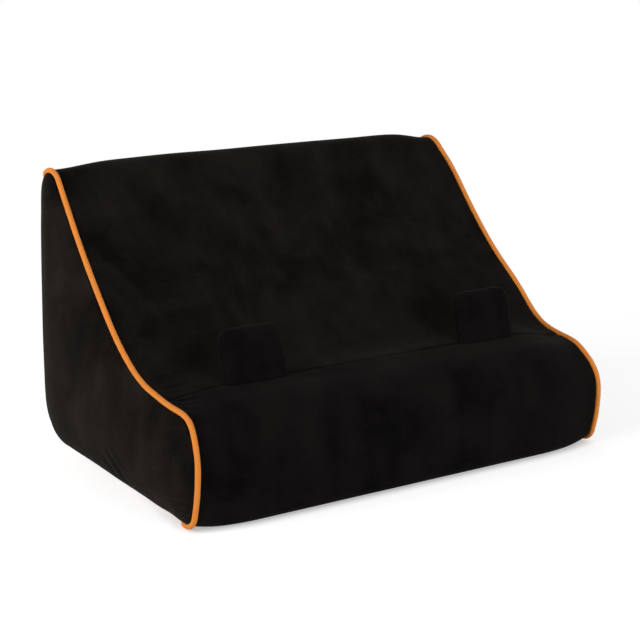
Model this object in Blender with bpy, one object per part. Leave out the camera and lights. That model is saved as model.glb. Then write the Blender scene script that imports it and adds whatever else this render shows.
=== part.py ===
"""A tablet cushion stand: a foam wedge in a sewn cloth cover with piped side seams, two padded tabs
and a zip across the back. Metres, +Z up, the front faces -Y, and the origin is on the floor under the
middle."""

import math

import bmesh
import bpy
import numpy as np

# The wedge's outline at its piped side seams
SEAM_SPAN = 0.288  # Between the two piping centrelines
BACK = 0.161  # The back's distance behind the front foot's seam
RIDGE_HEIGHT = 0.1766
RIDGE_RADIUS = 0.011
ROLL_RADIUS = 0.027  # The plump roll along the front
ROLL_SETBACK = 0.0147  # Its centre, behind the front foot's seam
ROLL_HEIGHT = 0.0365
FRONT_RADIUS = 0.095  # The front under the roll
FOOT_RADIUS = 0.008
BACK_FOOT_RADIUS = 0.026
SEAM_LIFT = 0.003  # The side seams ride this far above the floor at the front foot
BACK_SEAM_LIFT = 0.0125  # And this far at the back foot
SHELF_LENGTH = 0.033
SHELF_ANGLE = math.radians(13.0)
CROOK_RADIUS = 0.025  # Where the shelf turns up into the slope
SLOPE_ANGLE = math.radians(36.5)

# How much fuller the middle is than the seams
CROWN = 0.004
RIDGE_CROWN = 0.003
BACK_CROWN = 0.003
FRONT_FULLNESS = 0.105  # Added to the front's radius, so that the middle stands plumber
EDGE_ROLL = 0.040  # The width over which the cloth falls from full to the seam
SIDE_BULGE = 0.011
SIDE_EDGE = 0.020  # The width over which a side swells from its seam

# Cloth and piping
CLOTH = 0.0015
GAP = 0.0003
PIPING_RADIUS = 0.002
PIPING_PROUD = 0.0005

# Tabs
TAB_MARGIN = 0.043  # From the piping's centreline to a tab's near edge
TAB_WIDTH = 0.040
TAB_HEIGHT = 0.031
TAB_THICKNESS = 0.008
TAB_CORNER = 0.009
TAB_EDGE = 0.0025
TAB_LEAN = math.radians(12.0)
TAB_SETBACK = 0.0145  # Along the shelf, from the roll's top to the seam that holds the tabs
INSERT_CLEARANCE = 0.0006

# Zip across the back
ZIP_HEIGHT = 0.057
ZIP_OPENING = 0.008
TAPE_HEIGHT = 0.0220  # Both tapes and the slot between them
TAPE_THICKNESS = 0.0006
ZIP_SLOT = 0.0014  # Between the two rows, where the slider's neck runs
COIL_HEIGHT = 0.0020
COIL_THICKNESS = 0.0016
STOP_LENGTH = 0.0025
STOP_INSET = 0.018  # From the piping's centreline to the stop's outer end
STOP_EDGE = 0.0005
SLIDER_LENGTH = 0.009
PLATE_THICKNESS = 0.001
PLATE_FLARE = 0.0006  # How far the outer plate widens on each side, to the end that the rows come into
PLATE_CORNER = 0.0014
PLATE_EDGE = 0.00025
NECK_LENGTH = 0.003
LIP_THICKNESS = 0.0007
BAIL_WIDTH = 0.0018
BAIL_LENGTH = 0.007
BAIL_THICKNESS = 0.0008
BAIL_CORNER = 0.0010  # Inside the bend
PULL_BAR_RADIUS = 0.0005
PULL_ARM_WIDTH = 0.0014
PULL_ARM_LENGTH = 0.006
PULL_BAR_HOLD = 0.0005  # How far the bar runs into each arm
PULL_LENGTH = 0.022
PULL_THICKNESS = 0.001
PULL_WAIST = 0.0005  # How far the tag's sides draw in at their middle
PULL_HOLE_RADIUS = 0.0011

MERGE_DISTANCE = 1e-6
ROUND_STEPS = 6
INNER_RINGS = (0.94, 0.82, 0.62, 0.36)
CLOTH_BLACK = (0.013, 0.011, 0.010)
PIPING_ORANGE = (0.91, 0.29, 0.035)
ZIP_BLACK = (0.012, 0.012, 0.013)
FOAM_GREY = (0.42, 0.42, 0.40)

CLOTH_END = SEAM_SPAN / 2 - PIPING_RADIUS - GAP
CORE_DEPTH = CLOTH + GAP
TAPE_DEPTH = CLOTH + GAP
INNER_PLATE_DEPTH = TAPE_DEPTH + TAPE_THICKNESS + GAP
GROOVE_DEPTH = INNER_PLATE_DEPTH + PLATE_THICKNESS + 2 * GAP
GROOVE_HALF = TAPE_HEIGHT / 2 + 2 * GAP
WEDGE_MIDDLE = np.array([0.095, 0.052])  # A point from which the whole outline can be seen


def clear_scene():
    for item in list(bpy.data.objects):
        bpy.data.objects.remove(item, do_unlink=True)


def material(name, colour, roughness, metallic=0.0):
    made = bpy.data.materials.new(name)
    made.use_nodes = True
    shader = made.node_tree.nodes["Principled BSDF"]
    shader.inputs["Base Color"].default_value = (*colour, 1.0)
    shader.inputs["Roughness"].default_value = roughness
    shader.inputs["Metallic"].default_value = metallic
    return made


def arc(centre, radius, start, end, steps):
    """Points on an arc in the outline's plane, both ends included. Angles are in radians from +Y."""
    angle = np.linspace(start, end, steps + 1)
    return np.column_stack((centre[0] + radius * np.cos(angle), centre[1] + radius * np.sin(angle)))


def line(start, end, steps):
    share = np.linspace(0.0, 1.0, steps + 1)[:, None]
    return (1 - share) * np.asarray(start) + share * np.asarray(end)


def joined(*runs):
    """Runs of points end to end, each without the point that it shares with the run before."""
    return np.vstack([runs[0], *(run[1:] for run in runs[1:])])


def trimmed(run):
    """A panel's outline, held back by half a gap at each end."""
    cut = run.copy()
    for end, inner in ((0, 1), (-1, -2)):
        along = run[inner] - run[end]
        cut[end] = run[end] + along / np.linalg.norm(along) * GAP / 2
    return cut


def heading(angle):
    return np.array([math.cos(angle), math.sin(angle)])


def shelf_start(full):
    """Where the shelf leaves the roll, and the roll's centre and radius."""
    centre = np.array([ROLL_SETBACK, ROLL_HEIGHT])
    radius = ROLL_RADIUS + full * CROWN
    return centre + radius * heading(SHELF_ANGLE + math.pi / 2), centre, radius


def base_and_front(full):
    """The base, and the front from the floor to the seam that holds the tabs."""
    start, roll, roll_radius = shelf_start(full)
    floor = SEAM_LIFT * (1 - full)
    front_radius = FRONT_RADIUS + full * FRONT_FULLNESS
    front = np.array([roll[0] - roll_radius + front_radius, roll[1]])
    foot_height = floor + FOOT_RADIUS
    reach = math.sqrt((front_radius - FOOT_RADIUS) ** 2 - (front[1] - foot_height) ** 2)
    foot = np.array([front[0] - reach, foot_height])
    low = math.atan2(foot[1] - front[1], foot[0] - front[0]) + 2 * math.pi
    back_floor = BACK_SEAM_LIFT * (1 - full)
    base = line((BACK - BACK_FOOT_RADIUS, back_floor), (foot[0], floor), 4)
    seam = start + TAB_SETBACK * heading(SHELF_ANGLE)
    front_run = joined(
        arc(foot, FOOT_RADIUS, 1.5 * math.pi, low, 4),
        arc(front, front_radius, low, math.pi, 4),
        arc(roll, roll_radius, math.pi, SHELF_ANGLE + math.pi / 2, 9),
        line(start, seam, 1),
    )
    return base, front_run, seam


def rest_and_back(full, seam):
    """The shelf behind the tabs, the slope, the ridge and the back down to the zip."""
    start = shelf_start(full)[0]
    shelf_end = start + SHELF_LENGTH * heading(SHELF_ANGLE)
    crook = shelf_end + CROOK_RADIUS * heading(SHELF_ANGLE + math.pi / 2)
    foot = crook + CROOK_RADIUS * heading(SLOPE_ANGLE - math.pi / 2)
    ridge_radius = RIDGE_RADIUS + full * RIDGE_CROWN
    ridge = np.array([BACK - ridge_radius, RIDGE_HEIGHT - RIDGE_RADIUS])
    # The slope is the one arc that leaves the crook along SLOPE_ANGLE and meets the ridge without a kink
    away = foot - ridge
    normal = heading(SLOPE_ANGLE + math.pi / 2)
    radius = (ridge_radius**2 - away @ away) / (2 * (normal @ away - ridge_radius))
    slope = foot + radius * normal
    meet = math.atan2(ridge[1] - slope[1], ridge[0] - slope[0])
    groove_top = ZIP_HEIGHT + GROOVE_HALF
    share = np.linspace(0.0, 1.0, 7)
    back = np.column_stack(
        (
            BACK + full * BACK_CROWN * np.sin(math.pi * share) ** 2,
            ridge[1] + share * (groove_top - ridge[1]),
        )
    )
    return joined(
        line(seam, shelf_end, 2),
        arc(crook, CROOK_RADIUS, SHELF_ANGLE - math.pi / 2, SLOPE_ANGLE - math.pi / 2, 3),
        arc(slope, radius, SLOPE_ANGLE - math.pi / 2, meet, 9),
        arc(ridge, ridge_radius, meet + math.pi, 0.0, 8),
        back,
        line((BACK, groove_top), (BACK, groove_top - GAP), 1),
        line((BACK, groove_top - GAP), (BACK, ZIP_HEIGHT + ZIP_OPENING / 2), 1),
    )


def lower_back(full):
    """The strip of cloth under the zip, round the back foot to the base."""
    floor = BACK_SEAM_LIFT * (1 - full)
    centre = (BACK - BACK_FOOT_RADIUS, floor + BACK_FOOT_RADIUS)
    groove_foot = ZIP_HEIGHT - GROOVE_HALF
    return joined(
        line((BACK, ZIP_HEIGHT - ZIP_OPENING / 2), (BACK, groove_foot + GAP), 1),
        line((BACK, groove_foot + GAP), (BACK, groove_foot), 1),
        line((BACK, groove_foot), (BACK, centre[1]), 1),
        arc(centre, BACK_FOOT_RADIUS, 0.0, -math.pi / 2, 5),
    )


def outline(full):
    """The closed outline, from 0 at the seams to 1 in the middle, and each panel's slice of it."""
    base, front, seam = base_and_front(full)
    runs = {
        "base_panel": trimmed(base),
        "front_panel": trimmed(front),
        "rest_panel": trimmed(rest_and_back(full, seam)),
        "lower_back_panel": trimmed(lower_back(full)),
    }
    slices = {}
    first = 0
    for name, run in runs.items():
        slices[name] = slice(first, first + len(run))
        first += len(run)
    return np.vstack(list(runs.values())), slices


def outward(loop):
    """Each point's outward normal on a closed outline that runs forward along the base."""
    ahead = np.roll(loop, -1, axis=0) - loop
    behind = loop - np.roll(loop, 1, axis=0)
    ahead /= np.linalg.norm(ahead, axis=1)[:, None]
    behind /= np.linalg.norm(behind, axis=1)[:, None]
    along = ahead + behind
    along /= np.linalg.norm(along, axis=1)[:, None]
    return np.column_stack((-along[:, 1], along[:, 0]))


def inset(loop, depth):
    """The outline moved in by a depth, which may differ from point to point."""
    return loop - outward(loop) * np.broadcast_to(depth, len(loop))[:, None]


def stations():
    """The places across the width where the outline is set, and its fullness at each."""
    rise = np.array([0.0, 0.12, 0.28, 0.48, 0.72, 1.0])
    half = -CLOTH_END + EDGE_ROLL * rise
    full = np.sin(rise * math.pi / 2)
    return np.concatenate((half, -half[::-1])), np.concatenate((full, full[::-1]))


def at_x(x, loop):
    return np.column_stack((np.full(len(loop), x), loop))


def mesh_object(name, vertices, faces, finish):
    """A closed mesh as an object, with its faces turned outward."""
    mesh = bpy.data.meshes.new(name)
    mesh.from_pydata([tuple(point) for point in vertices], [], faces)
    work = bmesh.new()
    work.from_mesh(mesh)
    bmesh.ops.remove_doubles(work, verts=work.verts, dist=MERGE_DISTANCE)
    bmesh.ops.recalc_face_normals(work, faces=work.faces)
    work.to_mesh(mesh)
    work.free()
    made = bpy.data.objects.new(name, mesh)
    bpy.context.scene.collection.objects.link(made)
    made.data.materials.append(finish)
    made.data.shade_smooth()
    made.data.set_sharp_from_angle(angle=math.radians(40))
    return made


def grid_faces(rows, columns, closed, first=0):
    """Triangles of a grid of points, row by row, whose rows may be closed loops.

    Every square is split along the same diagonal, so that the gap between two warped sheets stays even.
    """
    faces = []
    for row in range(rows - 1):
        for column in range(columns if closed else columns - 1):
            here = first + row * columns
            ahead = (column + 1) % columns
            faces.append((here + column, here + ahead, here + columns + ahead))
            faces.append((here + column, here + columns + ahead, here + columns + column))
    return faces


def sheet_between(name, outer, inner, finish):
    """A sheet of cloth between two open grids of points of the same shape."""
    rows, columns = outer.shape[:2]
    count = rows * columns
    faces = grid_faces(rows, columns, closed=False)
    faces += [tuple(count + corner for corner in face) for face in faces]
    rim = [column for column in range(columns)]
    rim += [row * columns + columns - 1 for row in range(1, rows)]
    rim += [(rows - 1) * columns + column for column in range(columns - 2, -1, -1)]
    rim += [row * columns for row in range(rows - 2, 0, -1)]
    faces += [
        (here, there, count + there, count + here)
        for here, there in zip(rim, rim[1:] + rim[:1])
    ]
    vertices = np.vstack((outer.reshape(-1, 3), inner.reshape(-1, 3)))
    return mesh_object(name, vertices, faces, finish)


def cloth_panels(finish):
    """The strips of cloth that run from side to side, each between its own two seams."""
    across, fullness = stations()
    loops = [outline(full) for full in fullness]
    slices = loops[0][1]
    outer = np.array([at_x(x, loop) for x, (loop, _) in zip(across, loops)])
    inner = np.array([at_x(x, inset(loop, CLOTH)) for x, (loop, _) in zip(across, loops)])
    for name, part in slices.items():
        sheet_between(name, outer[:, part], inner[:, part], finish)


def bulge(points, rim):
    """How far a side stands out at points inside its seam.

    The sum along the seam of length over distance cubed is 2 / d^2 at a distance d from a straight seam,
    so the root of 2 over it is a distance from the seam that has no creases. The side swells with it.
    """
    edge = np.linalg.norm(np.roll(rim, -1, axis=0) - rim, axis=1)
    middle = (np.roll(rim, -1, axis=0) + rim) / 2
    apart = np.linalg.norm(points[:, None] - middle[None], axis=2)
    inside = np.sqrt(2 / (edge / apart**3).sum(axis=1))
    return SIDE_BULGE * np.tanh(inside / SIDE_EDGE)


def side_rings(rim, base_x, side):
    """Rings of a bulged side from its rim inward, and its middle point."""
    seam = inset(outline(0.0)[0], CORE_DEPTH)
    rings = [at_x(side * base_x, rim)]
    for share in INNER_RINGS:
        ring = WEDGE_MIDDLE + (seam - WEDGE_MIDDLE) * share
        rings.append(np.column_stack((side * (base_x + bulge(ring, seam)), ring)))
    tip = base_x + bulge(WEDGE_MIDDLE[None], seam)[0]
    return rings, np.array([side * tip, *WEDGE_MIDDLE])


def fan(ring_start, count, tip):
    return [(ring_start + place, ring_start + (place + 1) % count, tip) for place in range(count)]


def side_panel(name, side, finish):
    rim = inset(outline(0.0)[0], CORE_DEPTH)
    count = len(rim)
    layers = []
    for base_x in (SEAM_SPAN / 2 - PIPING_PROUD, SEAM_SPAN / 2 - PIPING_PROUD - CLOTH):
        rings, tip = side_rings(rim, base_x, side)
        layers.append(np.vstack((*rings, tip)))
    ring_count = 1 + len(INNER_RINGS)
    size = ring_count * count + 1
    faces = grid_faces(ring_count, count, closed=True)
    faces += fan((ring_count - 1) * count, count, size - 1)
    faces += [tuple(size + corner for corner in face) for face in faces]
    faces += [
        (place, (place + 1) % count, size + (place + 1) % count, size + place)
        for place in range(count)
    ]
    return mesh_object(name, np.vstack(layers), faces, finish)


def foam_core(finish):
    """The foam wedge, a cloth's thickness inside the cover, with a groove behind the zip."""
    across, fullness = stations()
    rows = []
    for x, full in zip(across, fullness):
        loop = outline(full)[0]
        behind_zip = (loop[:, 0] > BACK - GAP) & (
            np.abs(loop[:, 1] - ZIP_HEIGHT) < GROOVE_HALF - GAP / 2
        )
        rows.append(at_x(x, inset(loop, np.where(behind_zip, GROOVE_DEPTH, CORE_DEPTH))))
    count = len(rows[0])
    faces = grid_faces(len(rows), count, closed=True)
    layers = list(rows)
    for rim, side in ((rows[0], -1), (rows[-1], 1)):
        rings, tip = side_rings(rim[:, 1:], CLOTH_END, side)
        first = len(np.vstack(layers))
        faces += grid_faces(len(rings), count, closed=True, first=first)
        faces += fan(first + (len(rings) - 1) * count, count, first + len(rings) * count)
        layers += [*rings, tip]
    return mesh_object("foam_core", np.vstack(layers), faces, finish)


def piping(name, side, finish):
    """A closed loop of cord in the seam round a side panel."""
    centre = inset(outline(0.0)[0], -PIPING_PROUD)
    apart = np.linalg.norm(centre - np.roll(centre, 1, axis=0), axis=1)
    centre = centre[apart > PIPING_RADIUS / 2]
    normal = outward(centre)
    turns = np.linspace(0, 2 * math.pi, 8, endpoint=False)
    rings = [
        np.column_stack(
            (
                np.full(len(centre), side * SEAM_SPAN / 2 + PIPING_RADIUS * math.sin(turn)),
                centre + PIPING_RADIUS * math.cos(turn) * normal,
            )
        )
        for turn in turns
    ]
    count = len(centre)
    faces = grid_faces(len(rings), count, closed=True)
    last = (len(rings) - 1) * count
    faces += [
        (last + place, last + (place + 1) % count, (place + 1) % count, place)
        for place in range(count)
    ]
    return mesh_object(name, np.vstack(rings), faces, finish)


def tab_frame():
    """The middle of the seam that holds the tabs, and the shelf's and the tab's directions there."""
    start = shelf_start(1.0)[0]
    along = heading(SHELF_ANGLE)
    return start + TAB_SETBACK * along, along, heading(math.pi / 2 - TAB_LEAN)


def tab_outline(width, height, corner):
    """Half-round top corners on straight sides: points of width and height, from bottom left to right."""
    half = width / 2
    left = arc((-half + corner, height - corner), corner, math.pi, math.pi / 2, ROUND_STEPS)
    right = arc((half - corner, height - corner), corner, math.pi / 2, 0.0, ROUND_STEPS)
    return np.vstack(([-half, 0.0], left, right, [half, 0.0]))


def tab_solid(name, middle_x, width, height, corner, thickness, rise, finish):
    """A tab's outline carried through its thickness, with its foot cut to the shelf's slope."""
    seam, along, up = tab_frame()
    through = np.array([up[1], -up[0]])
    shape = tab_outline(width, height, corner)
    rows = []
    for side in (-0.5, 0.5):
        foot = side * thickness * through
        # The foot slides along the tab's own direction until it meets the shelf
        drop = (along[0] * foot[1] - along[1] * foot[0]) / (along[0] * up[1] - along[1] * up[0])
        lift = rise - np.where(shape[:, 1] == 0.0, drop, 0.0)
        place = seam + foot + (shape[:, 1] + lift)[:, None] * up
        rows.append(np.column_stack((middle_x + shape[:, 0], place)))
    count = len(shape)
    faces = [tuple(range(count)), tuple(range(count, 2 * count))]
    faces += [
        (here, (here + 1) % count, count + (here + 1) % count, count + here)
        for here in range(count)
    ]
    return mesh_object(name, np.vstack(rows), faces, finish)


def bevelled(item, width):
    soften = item.modifiers.new("soft_edge", "BEVEL")
    soften.width = width
    soften.segments = 3
    soften.limit_method = "ANGLE"
    soften.angle_limit = math.radians(50)


def tab(side_name, side, cloth, pad):
    """A padded tab: a sleeve open at its foot, and the pad inside it."""
    middle_x = side * (SEAM_SPAN / 2 - TAB_MARGIN - TAB_WIDTH / 2)
    wall = CLOTH + GAP
    sleeve = tab_solid(
        f"tab_{side_name}", middle_x, TAB_WIDTH, TAB_HEIGHT, TAB_CORNER, TAB_THICKNESS, GAP * 2, cloth
    )
    bevelled(sleeve, TAB_EDGE)
    pocket = tab_solid(
        f"tab_{side_name}_pocket",
        middle_x,
        TAB_WIDTH - 2 * CLOTH,
        TAB_HEIGHT + TAB_HEIGHT / 2 - CLOTH,
        TAB_CORNER - CLOTH,
        TAB_THICKNESS - 2 * CLOTH,
        -TAB_HEIGHT / 2,
        cloth,
    )
    pocket.hide_render = True
    pocket.display_type = "WIRE"
    hollow = sleeve.modifiers.new("pocket", "BOOLEAN")
    hollow.operation = "DIFFERENCE"
    hollow.object = pocket
    tab_solid(
        f"tab_{side_name}_insert",
        middle_x,
        TAB_WIDTH - 2 * wall - INSERT_CLEARANCE,
        TAB_HEIGHT - wall - INSERT_CLEARANCE,
        TAB_CORNER - wall,
        TAB_THICKNESS - 2 * wall,
        INSERT_CLEARANCE,
        pad,
    )


def block_mesh(name, low, high, finish):
    """A block between two corners, as a bmesh cube set to size."""
    low, high = np.array(low), np.array(high)
    work = bmesh.new()
    bmesh.ops.create_cube(work, size=1.0)
    for vertex in work.verts:
        vertex.co = (low + high) / 2 + np.array(vertex.co) * (high - low)
    mesh = bpy.data.meshes.new(name)
    work.to_mesh(mesh)
    work.free()
    made = bpy.data.objects.new(name, mesh)
    bpy.context.scene.collection.objects.link(made)
    made.data.materials.append(finish)
    return made


def rounded(corners, radii):
    """A closed outline of straight edges whose corners are arcs, each tangent to both of its edges."""
    points = []
    count = len(corners)
    for place, (corner, radius) in enumerate(zip(corners, radii)):
        back = corners[place - 1] - corner
        ahead = corners[(place + 1) % count] - corner
        back /= np.linalg.norm(back)
        ahead /= np.linalg.norm(ahead)
        half = math.acos(back @ ahead) / 2
        middle = (back + ahead) / np.linalg.norm(back + ahead)
        centre = corner + middle * radius / math.sin(half)
        start = corner + back * radius / math.tan(half) - centre
        end = corner + ahead * radius / math.tan(half) - centre
        turn = math.pi - 2 * half
        for share in np.linspace(0.0, 1.0, ROUND_STEPS + 1):
            blend = math.sin((1 - share) * turn) * start + math.sin(share * turn) * end
            points.append(centre + blend / math.sin(turn))
    return np.array(points)


def slab(name, outline_xz, low, high, finish):
    """A flat piece: an outline of X and Z carried from one Y to another."""
    count = len(outline_xz)
    rows = [np.insert(outline_xz, 1, level, axis=1) for level in (low, high)]
    faces = [tuple(range(count)), tuple(range(count, 2 * count))]
    faces += [
        (here, (here + 1) % count, count + (here + 1) % count, count + here)
        for here in range(count)
    ]
    return mesh_object(name, np.vstack(rows), faces, finish)


def bent_strip(name, outer, inner, low, high, finish):
    """A bent strip: two lines of X and Y of the same length, its outside and inside, carried along Z."""
    count = len(outer)
    rows = [np.column_stack((run, np.full(count, level))) for level in (low, high) for run in (outer, inner)]
    faces = []
    for near, far in ((0, 1), (1, 3), (3, 2), (2, 0)):
        for place in range(count - 1):
            start, other = near * count + place, far * count + place
            faces.append((start, start + 1, other + 1, other))
    for end in (0, count - 1):
        faces.append((end, count + end, 3 * count + end, 2 * count + end))
    return mesh_object(name, np.vstack(rows), faces, finish)


def rod_mesh(name, centre, radius, length, finish):
    """A round rod along Z."""
    work = bmesh.new()
    bmesh.ops.create_cone(
        work, cap_ends=True, segments=12, radius1=radius, radius2=radius, depth=length
    )
    bmesh.ops.translate(work, vec=centre, verts=work.verts)
    mesh = bpy.data.meshes.new(name)
    work.to_mesh(mesh)
    work.free()
    made = bpy.data.objects.new(name, mesh)
    bpy.context.scene.collection.objects.link(made)
    made.data.materials.append(finish)
    made.data.shade_smooth()
    made.data.set_sharp_from_angle(angle=math.radians(40))
    return made


def united(item, others):
    """One body from several: each of the others joins the first by a union, then serves as a cutter."""
    for number, other in enumerate(others):
        other.hide_render = True
        other.display_type = "WIRE"
        join = item.modifiers.new(f"join_{number}", "BOOLEAN")
        join.operation = "UNION"
        join.object = other
    return item


def stop_end():
    return SEAM_SPAN / 2 - STOP_INSET


def slider_middle():
    """The slider's middle when the zip is shut, against the right stop."""
    return stop_end() - STOP_LENGTH - GAP - SLIDER_LENGTH / 2


def zip_tapes_and_rows(finish):
    """The two tapes, the row of coil on each, and the stops that end the rows."""
    tape_y = (BACK - TAPE_DEPTH - TAPE_THICKNESS, BACK - TAPE_DEPTH)
    coil_y = (BACK - CLOTH, BACK - CLOTH + COIL_THICKNESS)
    coil_x = stop_end() - STOP_LENGTH - GAP
    for name, side in (("upper", 1), ("lower", -1)):
        near, far = side * ZIP_SLOT / 2, side * TAPE_HEIGHT / 2
        low, high = sorted((near, far))
        block_mesh(
            f"zip_tape_{name}",
            (-CLOTH_END, tape_y[0], ZIP_HEIGHT + low),
            (CLOTH_END, tape_y[1], ZIP_HEIGHT + high),
            finish,
        )
        low, high = sorted((near, near + side * COIL_HEIGHT))
        block_mesh(
            f"zip_coil_{name}",
            (-coil_x, coil_y[0], ZIP_HEIGHT + low),
            (coil_x, coil_y[1], ZIP_HEIGHT + high),
            finish,
        )
    reach = ZIP_SLOT / 2 + COIL_HEIGHT
    for name, side in (("left", -1), ("right", 1)):
        low, high = sorted((side * (stop_end() - STOP_LENGTH), side * stop_end()))
        stop = block_mesh(
            f"zip_stop_{name}",
            (low, coil_y[0], ZIP_HEIGHT - reach),
            (high, coil_y[1] + GAP, ZIP_HEIGHT + reach),
            finish,
        )
        bevelled(stop, STOP_EDGE)


def plate_face():
    """The outer face of the slider's outer plate."""
    return BACK - CLOTH + COIL_THICKNESS + GAP + PLATE_THICKNESS


def pivot_y():
    """The pull's bar lies on the outer plate, a gap clear of it."""
    return plate_face() + GAP + PULL_BAR_RADIUS


def flared_plate(narrow, flare, corner):
    """A slider plate's outline, narrow at the end that the joined rows leave and flared at the other."""
    middle, half = slider_middle(), SLIDER_LENGTH / 2
    wide = narrow + flare
    corners = np.array(
        [
            (middle - half, ZIP_HEIGHT - narrow),
            (middle, ZIP_HEIGHT - wide),
            (middle + half, ZIP_HEIGHT - wide),
            (middle + half, ZIP_HEIGHT + wide),
            (middle, ZIP_HEIGHT + wide),
            (middle - half, ZIP_HEIGHT + narrow),
        ]
    )
    return rounded(corners, (corner, 2 * corner, corner, corner, 2 * corner, corner))


def slider_bail(finish):
    """The bail: a strip bent over the pull's bar, with a foot sunk in the plate at each end."""
    middle, foot = slider_middle(), plate_face() - PLATE_THICKNESS / 2
    under = pivot_y() + PULL_BAR_RADIUS + GAP
    bend = BAIL_LENGTH / 2 - BAIL_THICKNESS - BAIL_CORNER
    runs = []
    for radius in (BAIL_CORNER + BAIL_THICKNESS, BAIL_CORNER):
        left = arc((middle - bend, under - BAIL_CORNER), radius, math.pi, math.pi / 2, ROUND_STEPS)
        right = arc((middle + bend, under - BAIL_CORNER), radius, math.pi / 2, 0.0, ROUND_STEPS)
        runs.append(np.vstack(((left[0, 0], foot), left, right, (right[-1, 0], foot))))
    low, high = ZIP_HEIGHT - BAIL_WIDTH / 2, ZIP_HEIGHT + BAIL_WIDTH / 2
    return bent_strip("slider_bail", *runs, low, high, finish)


def zip_slider(finish):
    """The slider: an outer and an inner plate on a neck, two lips round the rows, and the bail."""
    middle = slider_middle()
    lip = ZIP_SLOT / 2 + COIL_HEIGHT + GAP
    lip_end = SLIDER_LENGTH / 2 - PLATE_CORNER
    outer = plate_face()
    inner = BACK - INNER_PLATE_DEPTH
    neck = ZIP_SLOT / 2 - GAP
    overlap = PLATE_THICKNESS / 2
    plate_shape = flared_plate(lip + LIP_THICKNESS + PLATE_EDGE, PLATE_FLARE, PLATE_CORNER)
    plate = slab("zip_slider", plate_shape, outer - PLATE_THICKNESS, outer, finish)
    bevelled(plate, PLATE_EDGE)
    inner_shape = flared_plate(lip, 0.0, PLATE_CORNER)
    neck_corners = np.array(
        [
            (middle - NECK_LENGTH / 2, ZIP_HEIGHT - neck),
            (middle + NECK_LENGTH / 2, ZIP_HEIGHT - neck),
            (middle + NECK_LENGTH / 2, ZIP_HEIGHT + neck),
            (middle - NECK_LENGTH / 2, ZIP_HEIGHT + neck),
        ]
    )
    neck_shape = rounded(neck_corners, (neck * 0.8,) * 4)
    pieces = [
        slab("slider_inner_plate", inner_shape, inner - PLATE_THICKNESS, inner, finish),
        slab("slider_neck", neck_shape, inner - overlap, outer - overlap, finish),
        slider_bail(finish),
    ]
    for name, side in (("upper", 1), ("lower", -1)):
        low, high = sorted((side * lip, side * (lip + LIP_THICKNESS)))
        pieces.append(
            block_mesh(
                f"slider_lip_{name}",
                (middle - lip_end, BACK - CLOTH, ZIP_HEIGHT + low),
                (middle + lip_end, outer - overlap, ZIP_HEIGHT + high),
                finish,
            )
        )
    return united(plate, pieces)


def tag_outline(start, end, half):
    """The pull's tag: a waisted strip with a round free end and a corner at each arm."""
    waist = (start + end) / 2
    corners = np.array(
        [
            (end, ZIP_HEIGHT - half),
            (waist, ZIP_HEIGHT - half + PULL_WAIST),
            (start, ZIP_HEIGHT - half),
            (start, ZIP_HEIGHT + half),
            (waist, ZIP_HEIGHT + half - PULL_WAIST),
            (end, ZIP_HEIGHT + half),
        ]
    )
    tip, bend, root = half * 0.85, half * 2, PULL_THICKNESS / 2
    return rounded(corners, (tip, bend, root, root, bend, tip))


def zip_pull(finish):
    """The pull: a bar under the bail, an arm each side of it, and the tag, lying along the zip."""
    middle = slider_middle()
    near = BAIL_WIDTH / 2 + GAP
    far = near + PULL_ARM_WIDTH
    low, high = pivot_y() - PULL_THICKNESS / 2, pivot_y() + PULL_THICKNESS / 2
    bar_length = 2 * (near + PULL_BAR_HOLD)
    bar = rod_mesh("zip_pull", (middle, pivot_y(), ZIP_HEIGHT), PULL_BAR_RADIUS, bar_length, finish)
    tag_start = middle - PULL_ARM_LENGTH
    tag_end = middle - PULL_LENGTH
    tag = slab("pull_tag", tag_outline(tag_start, tag_end, far), low, high, finish)
    turn = np.linspace(0.0, 2 * math.pi, 2 * ROUND_STEPS, endpoint=False)
    hole_shape = np.column_stack((np.cos(turn), np.sin(turn))) * PULL_HOLE_RADIUS
    hole_shape += (tag_end + far, ZIP_HEIGHT)
    hole = slab("pull_hole", hole_shape, low - GAP, high + GAP, finish)
    hole.hide_render = True
    hole.display_type = "WIRE"
    pierce = tag.modifiers.new("hole", "BOOLEAN")
    pierce.operation = "DIFFERENCE"
    pierce.object = hole
    pieces = [tag]
    for name, side in (("upper", 1), ("lower", -1)):
        inner, outer = sorted((side * near, side * far))
        pieces.append(
            block_mesh(
                f"pull_arm_{name}",
                (tag_start - PULL_THICKNESS, low, ZIP_HEIGHT + inner),
                (middle + PULL_BAR_RADIUS / 2, high, ZIP_HEIGHT + outer),
                finish,
            )
        )
    return united(bar, pieces)


def centre_on_floor():
    """Stands the whole stand with its box's middle over the origin and its base on the floor."""
    shown = [item for item in bpy.data.objects if item.type == "MESH" and not item.hide_render]
    graph = bpy.context.evaluated_depsgraph_get()
    depths = [
        corner.co.y
        for item in shown
        for corner in item.evaluated_get(graph).data.vertices
    ]
    stand = bpy.data.objects.new("stand", None)
    bpy.context.scene.collection.objects.link(stand)
    for item in bpy.data.objects:
        if item is not stand and item.parent is None:
            item.parent = stand
    stand.location.y = -(min(depths) + max(depths)) / 2


def main():
    clear_scene()
    cloth = material("suede_cloth", CLOTH_BLACK, 0.95)
    edge = material("orange_piping", PIPING_ORANGE, 0.75)
    foam = material("foam", FOAM_GREY, 0.9)
    nylon = material("zip_nylon", ZIP_BLACK, 0.5)
    metal = material("zip_metal", ZIP_BLACK, 0.35, 0.9)
    foam_core(foam)
    cloth_panels(cloth)
    for name, side in (("left", -1), ("right", 1)):
        side_panel(f"side_panel_{name}", side, cloth)
        piping(f"piping_{name}", side, edge)
        tab(name, side, cloth, foam)
    zip_tapes_and_rows(nylon)
    zip_slider(metal)
    zip_pull(metal)
    bpy.context.view_layer.update()
    centre_on_floor()


main()
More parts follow.
